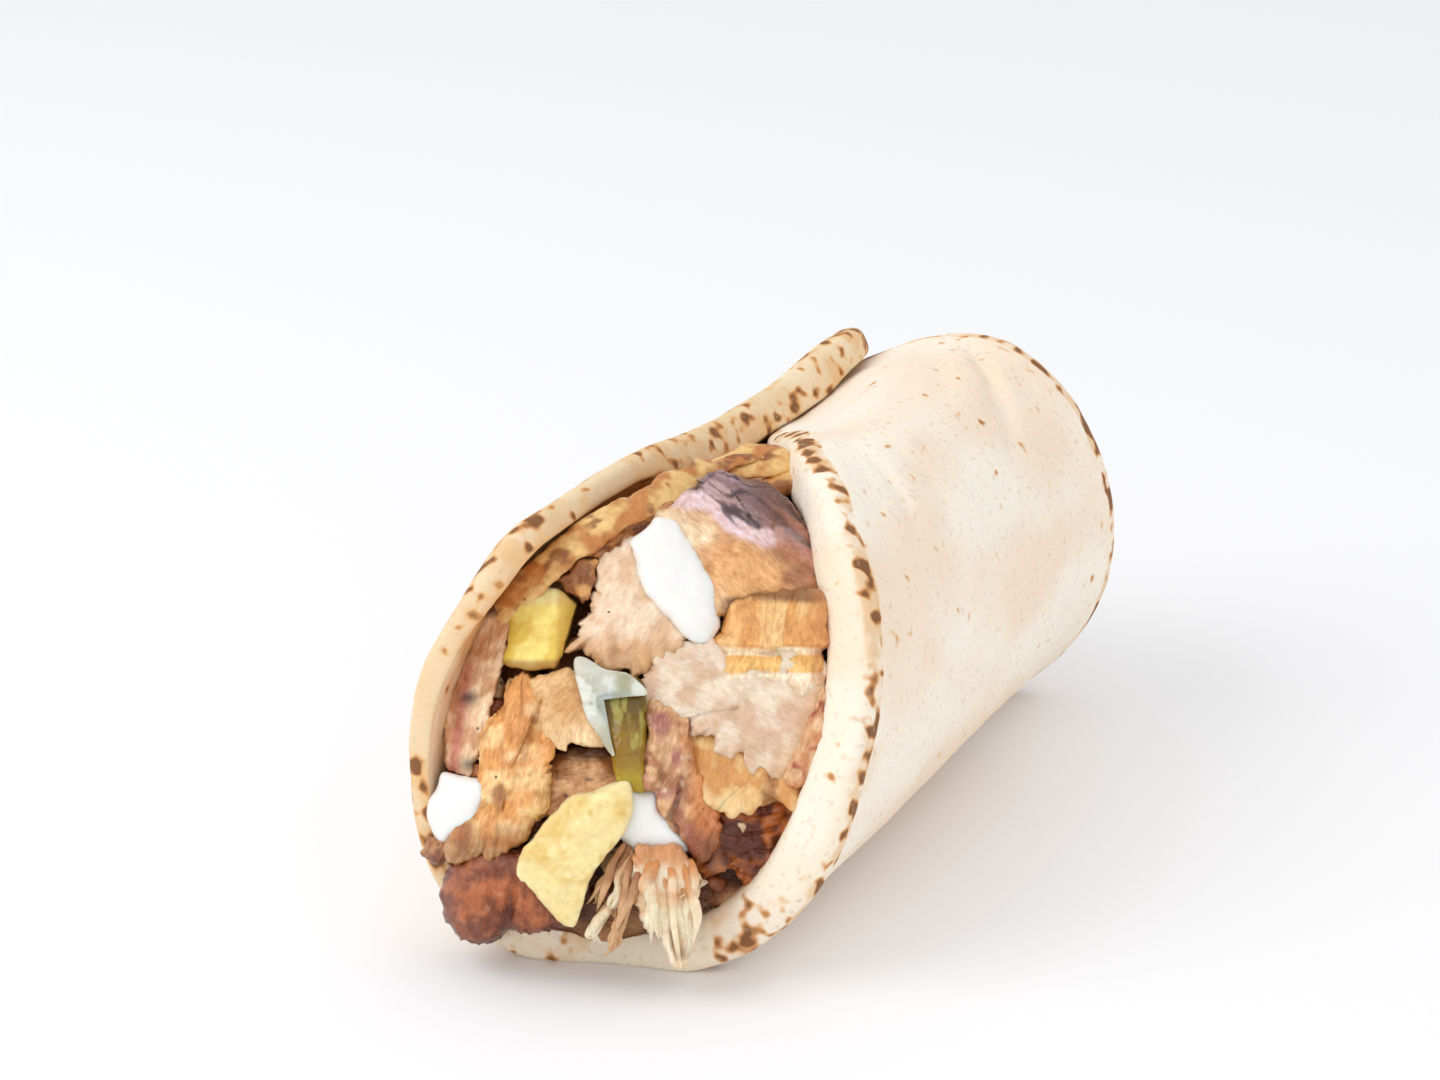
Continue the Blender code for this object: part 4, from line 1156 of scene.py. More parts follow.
def pickle_paint(points, height):
    """Olive above, green-yellow below, with pale streaks and a darker edge."""
    tint = mix(colour(146, 110, 8), colour(100, 76, 8), ease((points[..., 1] - 2) / 6))
    tint = mix(tint, colour(176, 150, 24), ease((0.5 - points[..., 1]) / 4) * 0.8)
    streaks = rough_noise(points * (1.2, 0.5, 1.0), 1.5, 93, 4)
    tint = mix(tint, colour(196, 190, 96), ease(streaks * 1.6 - 0.3) * 0.5)
    return mix(tint, colour(92, 84, 22), ease(edge_share(points) * 4 - 3.2) * 0.5)


def onion_paint(points, height):
    """Grey-white, with whiter patches."""
    tint = mix(colour(206, 204, 190), colour(170, 168, 140), ease(0.5 + noise(points, 2.6, 94)))
    return mix(tint, colour(232, 232, 224), ease(rough_noise(points, 2.2, 95, 4) * 1.6) * 0.7)


add_piece("pickle", "pickle_wedge", "pickle", PICKLE, PICKLE_WEDGE, 7, 2.6, (0.0, 0.03), power=4.5,
          ragged=0.1, seed=90, relief=pickle_relief, paint=pickle_paint)
add_piece("onion_sliver", "onion_strip", "onion", ONION, ONION_SLIVER, 1.6, 3.4, (0.05, 0.02),
          power=3.0, ragged=0.12, seed=96, relief=lambda points: 0.25 * noise(points, 3.0, 97),
          paint=onion_paint)

# %% [markdown]
# ## Fried potato
# The potato is cut with a knife, so its faces are flat and its edges sharp: a power of 9. The
# frying gives a golden skin with a paler, blistered middle, and a brown line at the bottom.

# %% Potato
POTATO_HIGH = [(-17, 24.5), (-11.5, 25.5), (-8.5, 24.5), (-6.5, 22.5), (-7, 19.5), (-8, 16), (-9, 13.5),
               (-13.5, 12.5), (-18, 13.5), (-17.5, 16.5), (-17.5, 21)]
POTATO_LOW = [(-4, -5), (-1.5, -4), (0.5, -4), (1, -7.5), (0.5, -9.5), (-0.5, -11.5), (-3, -14.5),
              (-5, -18), (-6, -21.5), (-7, -24), (-8.5, -24), (-10.5, -22), (-13, -19.5), (-15, -18),
              (-15.5, -16), (-14.5, -13.5), (-12, -10.5), (-8, -6)]


def potato_high_relief(points):
    """Three flat faces of a cube: a bevel cut off the top, and one off the right side."""
    top = -1.6 * ease((points[..., 1] - 21.5) / 3.2)
    right = -1.8 * ease((points[..., 0] + 10.6 - 0.12 * (points[..., 1] - 14)) / 2.6)
    return top + right + 0.12 * rough_noise(points, 2.0, 101) + 0.06 * noise(points, 0.8, 102)


def potato_high_paint(points, height):
    """Yellow, pale on the bevel at the top, browner on the right and at the bottom."""
    tint = mix(colour(244, 222, 122), colour(228, 196, 84), ease(0.5 + rough_noise(points, 2.6, 103)))
    tint = mix(tint, colour(248, 236, 176), ease((points[..., 1] - 21.3) / 1.6) * 0.85)
    tint = mix(tint, colour(206, 158, 58), ease((points[..., 0] + 10.8) / 1.2) * 0.75)
    return mix(tint, colour(150, 92, 40), ease((14.3 - points[..., 1]) / 1.0) * 0.7)


def potato_low_relief(points):
    """A ridge along the kite, with blisters between it and the edges."""
    return (0.5 * spot(points, (-6, -12), (9, 2.2), 60) + 0.2 * rough_noise(points, 2.4, 104)
            + 0.12 * np.abs(noise(points, 1.2, 105)) - 0.2)


def potato_low_paint(points, height):
    """Pale yellow, with golden blisters and a thin brown edge."""
    tint = mix(colour(240, 220, 158), colour(230, 200, 122), ease(0.4 + 0.9 * rough_noise(points, 3.4, 106)))
    tint = mix(tint, colour(248, 236, 190), ease(edge_share(points) * 3 - 1.9) * 0.7)
    tint = mix(tint, colour(214, 174, 74), ease(noise(points, 1.6, 107) * 2 - 0.9) * 0.6)
    return mix(tint, colour(196, 140, 60), ease(edge_share(points) * 10 - 9.6) * 0.6)


add_piece("potato_high", "upper_potato", "potato", POTATO, POTATO_HIGH, 10, 1.0, (0.0, 0.0), power=9,
          ragged=0.12, seed=100, relief=potato_high_relief, paint=potato_high_paint)
add_piece("potato_low", "lower_potato", "potato", POTATO, POTATO_LOW, 6, 3.0, (0.0, 0.0), power=8,
          ragged=0.15, seed=101, relief=potato_low_relief, paint=potato_low_paint)

# %% [markdown]
# ## Chicken on the left: fan and wall strip
# A fan-shaped slice hangs between the potato and the sauce, with a ruffled brown crust along
# its lower edge. A narrow strip of meat with a pink stripe stands at the left wall.

# %% Fan and wall strip
FAN = [(-4, 28.5), (-1.5, 31), (1, 31), (3.5, 27), (6, 22.5), (8, 18.5), (8.5, 16.5), (5.5, 14),
       (3, 13), (0.5, 12), (-2.5, 13), (-5, 14.5), (-6.5, 16), (-8, 15.5), (-7.5, 16.5), (-6, 20),
       (-4.5, 23.5), (-5, 25.5)]
WALL_STRIP = [(-22, 20.5), (-19, 22), (-17, 21.5), (-18, 16.5), (-18.5, 12.5), (-20, 8), (-21, 3),
              (-22.5, -2), (-24, -2.5), (-26.2, -1.5), (-26.8, 2), (-26.0, 9), (-24.4, 15.5)]


def fan_relief(points):
    """Fibres that run down the slice, and a ruffle along the lower edge."""
    ruffle = noise(points * (0.75, 0.25, 0.4), 1.0, 111) * ease((19.5 - points[..., 1]) / 5)
    bundle, split = strands(points, 62, 112, 1.4)
    return bundle * 0.12 - split * 0.2 + 0.9 * ruffle + 0.42 * rough_noise(points, 3.2, 113, 4)


def fan_paint(points, height):
    """Cream, browner towards the foot, with a crust along the lower edge."""
    tint = mix(colour(242, 216, 188), colour(230, 192, 156), ease(0.5 + rough_noise(points, 2.6, 114)))
    tint = mix(tint, colour(208, 152, 92), ease((19.0 - points[..., 1]) / 4) * 0.7)
    crust = ease(edge_share(points) * 6 - 5.0) * ease((18.5 - points[..., 1]) / 2)
    return mix(tint, colour(112, 66, 38), crust * 0.85)


def wall_paint(points, height):
    """Beige, with a pink stripe up it and three charred spots."""
    tint = mix(colour(240, 204, 164), colour(216, 164, 120), ease(0.5 + rough_noise(points, 2.6, 115)))
    off_stripe = (points[..., 0] + 24.2 - 0.14 * (points[..., 1] - 8)) / 1.1
    stripe = np.exp(-(off_stripe**2)) * ease((16 - points[..., 1]) / 5)
    tint = mix(tint, colour(184, 92, 84), stripe * 0.75)
    char = (spot(points, (-23.3, 8.2), (1.5, 1.0)) + spot(points, (-22.6, -1.5), (2.0, 1.0))
            + spot(points, (-20.5, 21), (2.5, 0.9)))
    return mix(tint, colour(52, 30, 30), np.clip(char, 0, 1) * 0.85)


add_piece("chicken_fan", "fan_slice", "pale_chicken", PALE_MEAT, FAN, 7, 0.8, (0.0, -0.05), seed=110,
          ragged=0.45, ragged_size=1.2, heading=62, relief=fan_relief, paint=fan_paint)
add_piece("chicken_wall_strip", "wall_strip", "chicken", MEAT, WALL_STRIP, 5, 0.3, (0.12, 0.0),
          seed=111, heading=76, relief=fibrous(76, 116), paint=wall_paint)

# %% [markdown]
# ## Chicken on the left: golden slice
# The golden slice runs down in long bundles of fibre. The splits between them get deeper
# towards its lower end, which is torn into points.

# %% Golden slice
GOLDEN = [(-18, 9.5), (-15.5, 11.5), (-14.5, 11), (-11.5, 9.5), (-12, 7.5), (-11, 4.5), (-11, -0.5),
          (-11, -5), (-12, -8), (-14.5, -11.5), (-17.5, -14), (-19.5, -15.5), (-20, -17),
          (-20.5, -14.5), (-21.5, -13.5), (-23.5, -15.5), (-25, -15.5), (-26.5, -14), (-24.5, -11.5),
          (-21.5, -10), (-21, -6.5), (-22, -2), (-21.5, 2.5), (-20.5, 5), (-18.5, 7.5)]


def golden_relief(points):
    """Long bundles down the slice, with deeper splits at the torn points, on big lumps."""
    low = ease((2.0 - points[..., 1]) / 14)
    bundle, split = strands(points, 76, 121, 1.8, 12.0)
    return (bundle * (0.14 + 0.2 * low) - split * (0.25 + 0.5 * low)
            + 0.95 * noise(points * (1.4, 0.7, 1.0), 4.5, 122) + 0.36 * rough_noise(points, 2.2, 123, 4))


def golden_paint(points, height):
    """Golden tan with paler patches, brown edges, and painted shade in the splits."""
    pale = ease(0.5 + 0.9 * rough_noise(points, 2.8, 124, 4))
    tint = mix(colour(226, 156, 84), colour(247, 202, 138), pale)
    tint = mix(tint, colour(248, 216, 166), ease(noise(points, 3.4, 128) * 1.8 - 0.6) * 0.6)
    tint = mix(tint, colour(158, 90, 40), ease(noise(points, 2.6, 125) * 2.2 - 0.7) * 0.8)
    tint = mix(tint, colour(142, 80, 44), ease((-8.0 - points[..., 1]) / 5) * 0.6)
    # painted shade in the splits between the fibre bundles
    return cracked(tint, points, 76, 121, colour(122, 66, 34), 1.8)


add_piece("chicken_golden", "golden_slice", "chicken", MEAT, GOLDEN, 8, 2.0, (0.0, 0.0), seed=112,
          around=280, ragged=0.35, ragged_size=1.2, heading=76, relief=golden_relief,
          paint=golden_paint)

# %% [markdown]
# ## Chicken on the left: slab and scraps
# A smooth peach slab lies beside the onion, with peppery meat in its shadow. Two brown scraps
# fill the gaps above the potato and under the lip.

# %% Slab and scraps
SLAB = [(-14, 10.5), (-11.5, 11.5), (-8.5, 12.5), (-6.5, 11), (-5.5, 9), (-4, 6.5), (-3.5, 4.5),
        (-2.5, 2), (-5, 1.5), (-8, 2), (-8.5, 1), (-9.5, 1), (-11, 2), (-12.5, 4), (-13, 7.5)]
PEPPERY = [(-11.5, -1.5), (-8.5, 1), (-5, 2), (-2.5, 1.5), (-0.5, -0.5), (0, -3.5), (-3.5, -5.5),
           (-7, -6.5), (-9, -8), (-11.5, -9), (-12, -5)]
SCRAP_TOP = [(-8.5, 26.5), (-7, 28.5), (-4.5, 28.5), (-4.5, 27), (-5.5, 24), (-6.5, 22), (-8.5, 24),
             (-10, 25.5)]
UNDER_LIP = [(-7, 30), (-5.5, 32), (-3, 34), (1, 36.5), (5, 37.5), (6.5, 37), (3.5, 34), (1.5, 31),
             (-1.5, 30), (-4, 28.5)]


def slab_paint(points, height):
    """Peach, with a pale front edge and a thin brown line round it."""
    tint = mix(colour(216, 164, 106), colour(230, 184, 130), ease(0.5 + noise(points, 4.0, 126)))
    front_edge = ease((5.2 - points[..., 1] + 0.35 * (points[..., 0] + 8)) / 1.6)
    tint = mix(tint, colour(240, 206, 156), front_edge * 0.8)
    return mix(tint, colour(196, 128, 72), ease(edge_share(points) * 8 - 7.4) * 0.6)


def peppery_paint(points, height):
    """Brown with black flecks, dark in the shade at the top."""
    tint = mix(colour(170, 112, 68), colour(208, 156, 108), ease(0.4 + rough_noise(points, 2.2, 127)))
    tint = mix(tint, colour(70, 40, 26), ease((points[..., 1] + 1.2) / 2.4 + 0.2) * 0.85)
    return mix(tint, CHAR, ease(noise(points, 1.1, 128) * 3 - 1.6) * 0.8)


def brown_paint(first, second, seed):
    """Make a paint function that blends two browns along the fibres."""
    return lambda points, height: mix(first, second, ease(0.5 + rough_noise(points, 2.2, seed)))


add_piece("chicken_slab", "peach_slab", "chicken", MEAT, SLAB, 4, 1.6, (0.02, -0.03), seed=113,
          ragged=0.15, heading=60, relief=fibrous(60, 117, 0.06, 1.4, 0.15, 0.1), paint=slab_paint)
add_piece("chicken_peppery", "peppery_meat", "seared_chicken", SEARED, PEPPERY, 8, -0.8, (0.0, -0.2),
          seed=114, heading=10, relief=fibrous(10, 118), paint=peppery_paint)
add_piece("chicken_scrap_top", "top_scrap", "chicken", MEAT, SCRAP_TOP, 5, 0.6, (0.0, 0.0), seed=115,
          heading=50, relief=fibrous(50, 119),
          paint=brown_paint(colour(206, 150, 88), colour(142, 84, 44), 131))
add_piece("chicken_under_lip", "under_lip_meat", "seared_chicken", SEARED, UNDER_LIP, 6, -0.5,
          (0.0, 0.0), seed=116, heading=40, relief=fibrous(40, 120),
          paint=brown_paint(colour(196, 132, 78), colour(124, 70, 40), 132))

# %% [markdown]
# ## Along the bottom
# The lowest row hangs over the bread's rim: a glazed, red-brown piece of two lobes, with painted
# shade in its groove; a small scrap beside the sauce; and shredded chicken, whose strings end in points.
# The strings are a bundle of tubes that taper, so each one catches its own light.

# %% Bottom row
GLAZED = [(-26.5, -17), (-25.5, -15.5), (-21, -13), (-15, -13), (-12, -16.5), (-10.5, -20),
          (-7.5, -22.5), (-6.5, -24.5), (-9.5, -25.5), (-13, -26.5), (-17, -26.5), (-19, -28),
          (-22, -28.5), (-25, -27.5), (-27, -24.5), (-27.5, -21.5), (-27.5, -19)]
SCRAP_LEFT = [(-29, -12.5), (-27, -13), (-26.5, -15), (-28.5, -16), (-30.5, -15)]
TORN = [(2, -13.5), (4.5, -13), (8, -13), (9.5, -15.5), (11.5, -18.5), (10.5, -18.5), (10.5, -22.5),
        (9.5, -27), (8.5, -30), (7, -30), (6, -27.5), (5, -25), (3.5, -25), (2.5, -23), (1.5, -19)]


def glazed_relief(points):
    """Two lobes with a groove between, and fine wrinkles in the glaze."""
    lobes = 1.7 * spot(points, (-22, -20.5), (4.8, 6)) + 1.3 * spot(points, (-13, -19), (4, 5)) - 0.9
    groove = -1.0 * spot(points, (-16.6, -21), (0.8, 5), -8)
    bundle, split = strands(points, 75, 141, 2.0, 6.0)
    return lobes + groove + bundle * 0.2 - split * 0.25 + 0.28 * rough_noise(points, 3.0, 142, 4)


def glazed_paint(points, height):
    """Red-brown, with a painted highlight where the glaze stands out and in pale patches, painted shade in
    the groove, and darker at the foot.
    """
    # painted highlight: lighter as the relief rises
    raised = ease(0.3 + 0.35 * height + 0.8 * rough_noise(points, 2.4, 143))
    tint = mix(colour(120, 56, 26), colour(176, 98, 52), raised)
    # painted highlights: pale patches on the glaze
    tint = mix(tint, colour(206, 140, 104), ease(noise(points, 2.0, 144) * 2 - 0.9) * 0.5)
    # painted shade in the groove and the other low places
    tint = mix(tint, colour(84, 34, 20), ease(-height * 1.1 - 0.1) * 0.7)
    return mix(tint, colour(92, 44, 26), ease((-25.5 - points[..., 1]) / 2.5) * 0.6)


def torn_relief(points):
    """Deep splits that run down the piece."""
    bundle, split = strands(points, 84, 145, 2.4, 16.0)
    return bundle * 0.35 - split * 0.9 + 0.2 * rough_noise(points, 2.6, 146, 4)


def torn_paint(points, height):
    """Cream below, orange-brown at the top, with brown painted shade in the splits."""
    tint = mix(colour(240, 206, 162), colour(250, 232, 202), ease(0.5 + rough_noise(points, 2.0, 148)))
    top = ease((points[..., 1] + 17.0 + noise(points, 1.8, 150)) / 2.5)
    tint = mix(tint, colour(204, 128, 66), top * 0.8)
    # painted shade in the deep splits between the fibre bundles
    return cracked(tint, points, 84, 145, colour(122, 74, 42), 2.4, 0.8)


add_piece("chicken_glazed", "glazed_piece", "seared_chicken", SEARED, GLAZED, 11, 2.0, (0.0, 0.05),
          seed=140, power=3.5, around=260, rows=80, heading=75, relief=glazed_relief,
          paint=glazed_paint)
add_piece("chicken_scrap_left", "left_scrap", "chicken", MEAT, SCRAP_LEFT, 4, 1.0, (0.0, 0.0), seed=141,
          power=3, heading=30, relief=fibrous(30, 148),
          paint=brown_paint(colour(128, 72, 44), colour(188, 128, 84), 149))
add_piece("chicken_torn", "torn_piece", "pale_chicken", PALE_MEAT, TORN, 6, 3.0, (0.0, 0.0), seed=142,
          around=260, ragged=0.3, ragged_size=1.0, heading=84, relief=torn_relief, paint=torn_paint)

# %% [markdown]
# ## Strings of chicken
# A string is a tube along a path: at each step a ring whose radius swells and then tapers to a
# point. A path is a smooth line through a few places on the mouth. Meat tears into bundles, so
# each path carries four thin strings, set a little aside from it at random.

# %% Strings
def string_rings(path, radius, proud, seed, steps=44, around=16):
    """Closed tube: the radius is its most times sin(pi s^0.7)^0.7, so that its ends close, and its
    lower end is the slimmer one. Its middle stands out from the face, and both ends sink in."""
    path = np.array(path, float)
    s = np.linspace(0, 1, steps)
    knots = np.linspace(0, 1, len(path))
    centre = np.stack([np.interp(s, knots, path[:, n]) for n in (0, 1)], axis=1)
    for _ in range(6):
        centre[1:-1] = (centre[:-2] + 2 * centre[1:-1] + centre[2:]) / 4
    wander = np.stack([s * 9, np.full(steps, seed * 3.1), s * 0], axis=1)
    centre[:, 0] += 0.3 * noise(wander, 2.0, seed)
    out = proud + 0.4 * noise(wander, 2.4, seed + 1) - 1.6 * np.abs(2 * s - 1) ** 3
    swell = radius * np.sin(np.pi * s**0.7) ** 0.7 * (1 + 0.25 * noise(wander, 1.6, seed + 2))
    direction = np.gradient(centre, axis=0)
    direction /= np.linalg.norm(direction, axis=1)[:, None]
    sideways = np.stack([-direction[:, 1], direction[:, 0]], axis=1)
    turn = np.linspace(0, 2 * np.pi, around, endpoint=False)
    flat = centre[:, None, :] + sideways[:, None, :] * (swell[:, None] * np.cos(turn))[..., None]
    return np.concatenate([flat, (out[:, None] + 0.6 * swell[:, None] * np.sin(turn))[..., None]], axis=2)


def add_string(name, node_name, path, radius, proud, seed, tip, top):
    """One string; its colour runs from the top's to the tip's."""
    rings = string_rings(path, radius, proud, seed)
    share = np.linspace(0, 1, rings.shape[0])[:, None] + 0.25 * noise(rings, 2.2, seed)
    tint = mix(top, tip, ease(share * 2.0 - 0.2))
    tint = mix(tint, colour(150, 96, 58), ease(noise(rings, 2.2, seed + 4) * 2 - 1.0) * 0.6)
    along = np.linspace(0, 14, rings.shape[0])[:, None] + 0 * rings[..., 0]
    place = lay(rings, 0.0)
    place[..., 2] = np.maximum(place[..., 2], 0.0)
    fibre = np.stack([along, rings[..., 0] + rings[..., 2], rings[..., 2] + seed], axis=-1)
    string = ring_surface(name, place, {"tint": tint, "fibre": fibre})
    finish_piece(string, node_name, PALE_MEAT)


STRING_CREAM, STRING_BEIGE = colour(248, 226, 192), colour(214, 168, 122)
STRING_TOP, STRING_BROWN = colour(212, 140, 78), colour(160, 104, 64)
BROWN_STRING, PALE_STRING = (STRING_BEIGE, STRING_BROWN), (STRING_CREAM, STRING_BEIGE)     # tip, top
TORN_STRING = (STRING_CREAM, STRING_TOP)
STRINGS = [                               # node, path, radius, how proud, colours
    ("chicken_shred", [(0.6, -12.8), (-1.4, -16), (-2.8, -19.0), (-4.6, -22)], 1.3, 1.4, BROWN_STRING),
    ("chicken_shred", [(1.6, -13.5), (-0.2, -18), (-1.6, -21), (-3.2, -22.6)], 1.2, 2.2, PALE_STRING),
    ("chicken_shred", [(1.8, -14.5), (1.0, -18), (0.6, -22), (-0.8, -26.5)], 1.2, 2.4, BROWN_STRING),
    ("chicken_shred", [(-0.6, -20.5), (-2.4, -23), (-4.4, -25.2), (-3.4, -27)], 1.3, 1.6, PALE_STRING),
    ("chicken_shred", [(0.2, -21.5), (-1.0, -24), (-1.5, -26.5), (-2.0, -28.8)], 1.1, 2.0, BROWN_STRING),
    ("chicken_torn", [(6.2, -14.5), (6.8, -19), (7.8, -25), (7.9, -30.2)], 1.6, 3.6, TORN_STRING),
    ("chicken_torn", [(8.6, -14.8), (9.6, -18.5), (9.9, -23), (9.0, -28.4)], 1.4, 3.2, TORN_STRING),
    ("chicken_torn", [(4.2, -14.0), (3.6, -17.5), (4.4, -21.5), (5.2, -26.5)], 1.5, 3.5, TORN_STRING),
]
BUNDLE = 4                                # strings on each path
chance = np.random.default_rng(12)
for count, (node_name, path, radius, proud, tones) in enumerate(STRINGS):
    for strand in range(BUNDLE):
        aside = np.array(path) + chance.uniform(-1.1, 1.1, (len(path), 2)) * (1.0, 0.6)
        thin, sunk = radius * chance.uniform(0.35, 0.62), proud + chance.uniform(-1.2, 0.4)
        add_string(f"chicken_string_{count}_{strand}", node_name, aside, thin, sunk,
                   160 + 20 * count + 5 * strand, *tones)

# %% [markdown]
# ## The folded far end
# At the far end the pita's bottom is folded in over the filling, an upper fold over a lower
# one. It is a disc with a step across it, just inside the far rim; below the step it is
# gathered into pleats, and both folds are toasted.

# %% Folded end
def tuck_rings(around=200, rows=60):
    """Disc: outer face, edge and inner face. The step rises 2.2 mm over 3 mm of height, and the
    pleats are a sine of seven times the turn. Also returns 1 along the step, and 0 off it."""
    turns = np.linspace(-180, 180, around, endpoint=False)
    shares = np.concatenate([np.linspace(0, 1, rows), np.linspace(1, 0, rows)])[:, None]
    back = (np.arange(2 * rows) >= rows)[:, None]
    along = ROLL_LENGTH - 4.0 - 1.5 * shares**2 - np.where(back, SHEET + 3.0, 0.0) + 0 * turns
    radius = (wall_inside(turns, along) + SHEET * 0.45) * shares
    x = radius * np.sin(np.radians(turns))
    z = (BACK_RADIUS - radius * np.cos(np.radians(turns))) * TALL - SINK
    level = z - MOUTH_HEIGHT + 5 + 0.12 * x
    fold = 2.2 * ease(level / 3.0) * ~back
    rings = np.stack([x, along + fold - ORIGIN_ALONG, z], axis=-1)
    soft = 0.5 * noise(rings, 9, 171) + 0.3 * rough_noise(rings, 4, 172)
    pleats = np.sin(np.radians(turns) * 7 + 1.5 * noise(rings, 14, 175)) * ease(shares * 1.6 - 0.5)
    soft = soft + 0.55 * pleats * (1 - ease(level / 3.0))
    rings[..., 1] += np.where(back, 0, soft)
    return rings, ease(level / 3.0 + 0.5) * (1 - ease(level / 3.0 - 0.4))


tuck_place, fold_line = tuck_rings()
tuck_place[..., 2] = np.maximum(tuck_place[..., 2], 0.0)
tuck_tint = mix(mix(CREAM, PEACH, ease(0.7 + rough_noise(tuck_place, 8, 173))), GOLD, fold_line * 0.5)
tuck_toast = 0.5 + 0.5 * fold_line * ease(0.5 + noise(tuck_place, 7, 174)) + 0.4 * noise(tuck_place, 12, 176)
tuck = ring_surface("folded_end", tuck_place, {"tint": tuck_tint, "toast": tuck_toast})
finish_piece(tuck, "bread", bpy.data.materials["bread"])

# %% [markdown]
# ## The pita's inner layer
# Under the lip, where the right flap slips in below it, the pita's inner layer shows: juice has
# soaked it, and it is golden, and its browns are partly painted shade under the lip. It is a slab
# bent round the roll like the sheet itself, so the filling's top is covered. A fold runs along
# under the lip, and a small one closes the corner.

# %% Inner layer
SETBACK = 7.5                             # the fold runs this much deeper at its upper end
GOLDEN_CRUMB = food_finish("soaked_and_shaded_bread", 0.6, 0.7, 0.2, mottle=0.12, pepper=0.14, fine=0.5, threads=EVEN)


def golden_bread(name, place, seed):
    """A piece of the pita's soaked inside, in two golden browns and a darker brown, partly from juice and
    partly painted shade under the lip.
    """
    # golden and brown tones: soaked juice, and partly painted shade under the lip
    tint = mix(colour(232, 190, 122), colour(196, 128, 66), ease(0.4 + 1.1 * rough_noise(place, 3.0, seed)))
    tint = mix(tint, colour(138, 78, 42), ease(rough_noise(place, 2.0, seed + 3) * 2.2 - 0.7) * 0.8)
    piece = ring_surface(name, place, {"tint": tint, "fibre": place})
    finish_piece(piece, "bread", GOLDEN_CRUMB)


INNER_LAYER = [(200, 40), (212, 37), (228, 38), (234, 60), (230, 104), (205, 108), (178, 98), (152, 84),
               (152, 64), (170, 58), (186, 49)]      # degrees round the roll, mm along it
layer_flat = slab(np.array(INNER_LAYER, float) * STRETCH, 4.0, power=4.0, ragged=0.4, ragged_size=3.0,
                  around=260, rows=70, seed=190)
layer_height = layer_flat[..., 2] - 2.2 + 0.5 * rough_noise(layer_flat * (1, 0.6, 1), 4.5, 191)
golden_bread("inner_layer", rolled(layer_flat[..., 0] / STRETCH[0], layer_flat[..., 1], layer_height), 192)
UNDER_EDGE = [(-20.0, 18.5), (-17.5, 22.0), (-13.5, 26.3), (-8.0, 30.8), (-2.0, 35.0), (5.0, 38.6),
              (11.0, 41.8), (16.0, 44.0), (21.0, 44.4)]
edge_flat = string_rings(UNDER_EDGE, 3.0, 0.4, 183, steps=150, around=48)
edge_flat = carve(edge_flat, 0.45 * rough_noise(edge_flat, 2.6, 184))
edge_flat[..., 2] -= SETBACK * ease(edge_flat[..., 0] / 16)
golden_bread("inner_edge", lay(edge_flat, 0.0), 185)
CORNER_FOLD = [(8, 40), (11, 42.5), (15, 45.2), (19, 46.4), (23.5, 46), (25, 43), (22, 41.5), (16, 41),
               (11, 39.5)]
corner_flat = slab(CORNER_FOLD, 4.0, power=3.0, ragged=0.2, ragged_size=2.0, around=160, rows=40, seed=186)
corner_flat = carve(corner_flat, 0.3 * rough_noise(corner_flat, 3.0, 187))
golden_bread("corner_fold", lay(corner_flat, -SETBACK - 1.0), 188)

# %% [markdown]
# ## Floor and light
# Pale food on a white ground needs soft light. A large window stands high at the front left, and
# a broader, weaker fill at the front right. The sky is nearly white, so the shadow on the floor
# stays pale. The camera's lens is long, so the roll isn't drawn out of shape.

# %% Floor and light
def add_area(name, location, target, size, power, tone):
    """Rectangular light of a size in metres and a power in watts, turned to face the target."""
    light = bpy.data.lights.new(name, "AREA")
    light.shape, light.size, light.size_y = "RECTANGLE", size[0], size[1]
    light.energy, light.color = power, tone
    lamp = bpy.data.objects.new(name, light)
    bpy.context.scene.collection.objects.link(lamp)
    lamp.location = location
    heading = np.array(target, float) - np.array(location, float)
    lamp.rotation_euler = (math.acos(-heading[2] / np.linalg.norm(heading)), 0.0,
                           math.atan2(heading[1], heading[0]) - math.pi / 2)


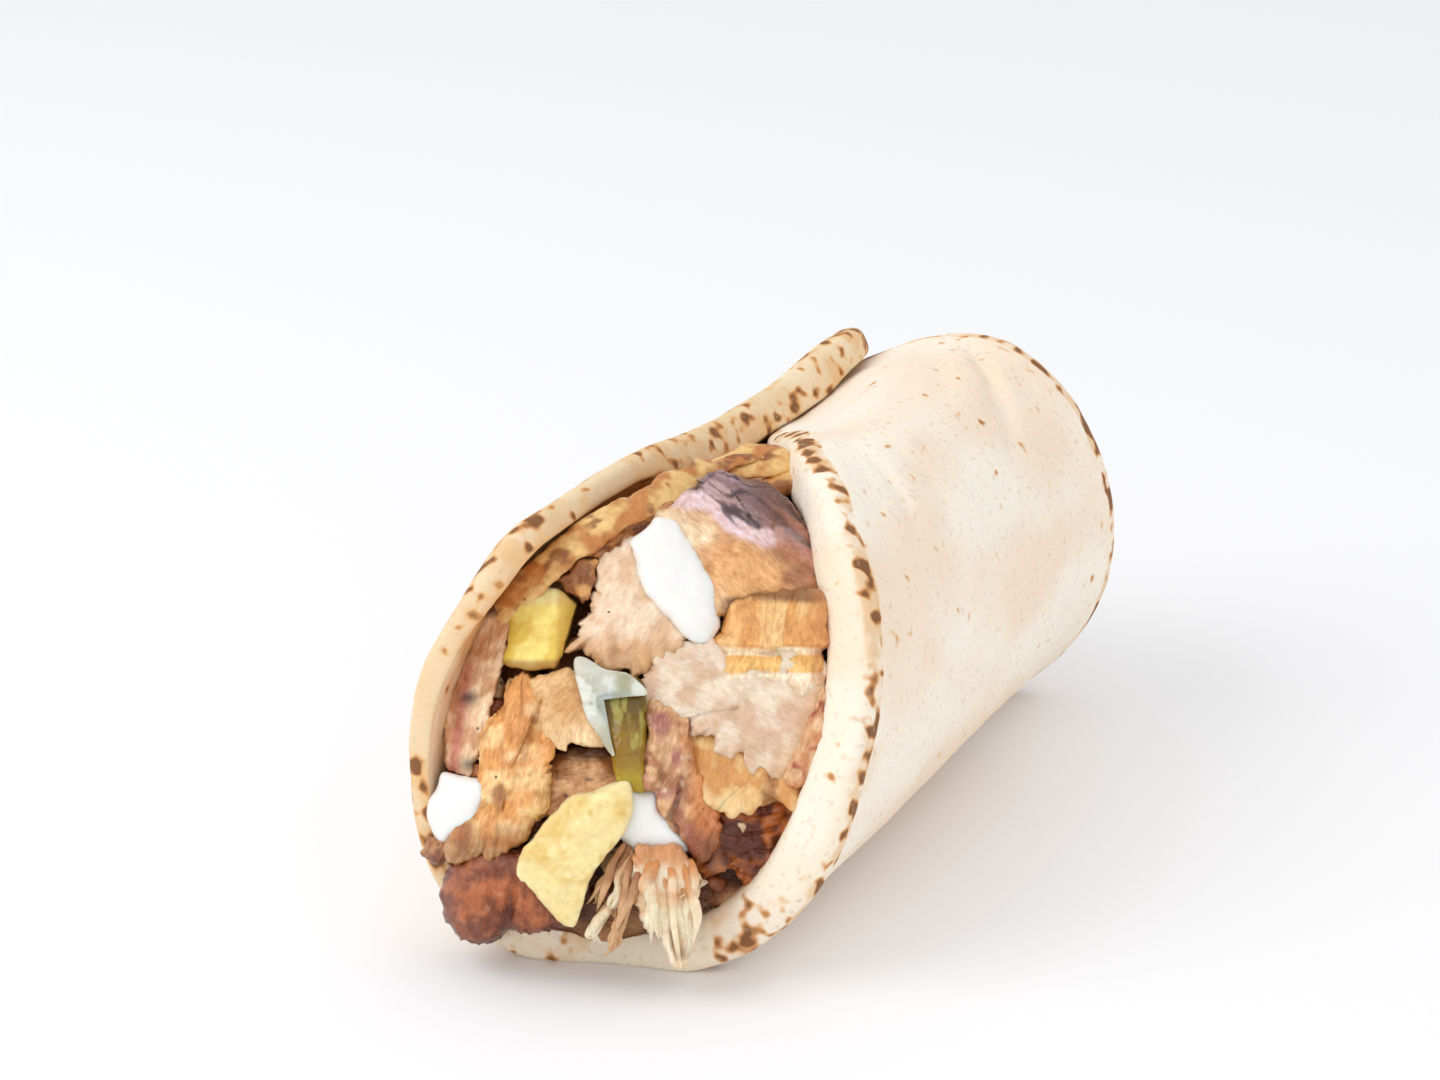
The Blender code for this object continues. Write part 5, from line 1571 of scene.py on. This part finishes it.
floor_mesh = bpy.data.meshes.new("floor")
floor_mesh.from_pydata([(-6, -6, 0), (6, -6, 0), (6, 6, 0), (-6, 6, 0)], [], [(0, 1, 2, 3)])
floor = bpy.data.objects.new("floor", floor_mesh)
bpy.context.scene.collection.objects.link(floor)
floor_finish, _, floor_shader = new_finish("white_floor")
floor_shader.inputs["Base Color"].default_value = (0.93, 0.93, 0.94, 1.0)
floor_shader.inputs["Roughness"].default_value = 0.9
floor_shader.inputs["Specular IOR Level"].default_value = 0.1
floor_mesh.materials.append(floor_finish)

world = bpy.data.worlds.new("soft_sky")
world.use_nodes = True
world.node_tree.nodes["Background"].inputs["Color"].default_value = (0.97, 0.98, 1.0, 1.0)
world.node_tree.nodes["Background"].inputs["Strength"].default_value = 0.84
bpy.context.scene.world = world
MIDDLE = (0, 0, 0.03)                     # what both lights face, metres
add_area("window", (-0.64, -0.60, 0.80), MIDDLE, (0.8, 0.8), 4.8, (1.0, 0.985, 0.96))
add_area("fill", (0.75, -0.55, 0.65), MIDDLE, (1.2, 1.0), 1.9, (1.0, 0.98, 0.965))

# %% [markdown]
# ## Camera
# It looks down at the mouth from the front right, along the line that the mouth's own measures
# are set square to.

# %% Camera
AIM = np.array([-0.005, -0.010, 0.0516])
AZIMUTH, ELEVATION, DISTANCE = MOUTH_TURN, MOUTH_TIP, 0.527
towards = np.array([math.sin(AZIMUTH) * math.cos(ELEVATION), -math.cos(AZIMUTH) * math.cos(ELEVATION),
                    math.sin(ELEVATION)])
camera_data = bpy.data.cameras.new("camera")
camera_data.lens, camera_data.sensor_width = 85.0, 36.0
camera_data.clip_start, camera_data.clip_end = 0.01, 50.0
camera = bpy.data.objects.new("camera", camera_data)
bpy.context.scene.collection.objects.link(camera)
camera.location = AIM + DISTANCE * towards
camera.rotation_euler = (math.pi / 2 - ELEVATION, 0.0, AZIMUTH)
bpy.context.scene.camera = camera
bpy.context.scene.view_settings.view_transform = "Standard"
print("camera at", np.round(np.array(camera.location), 4))
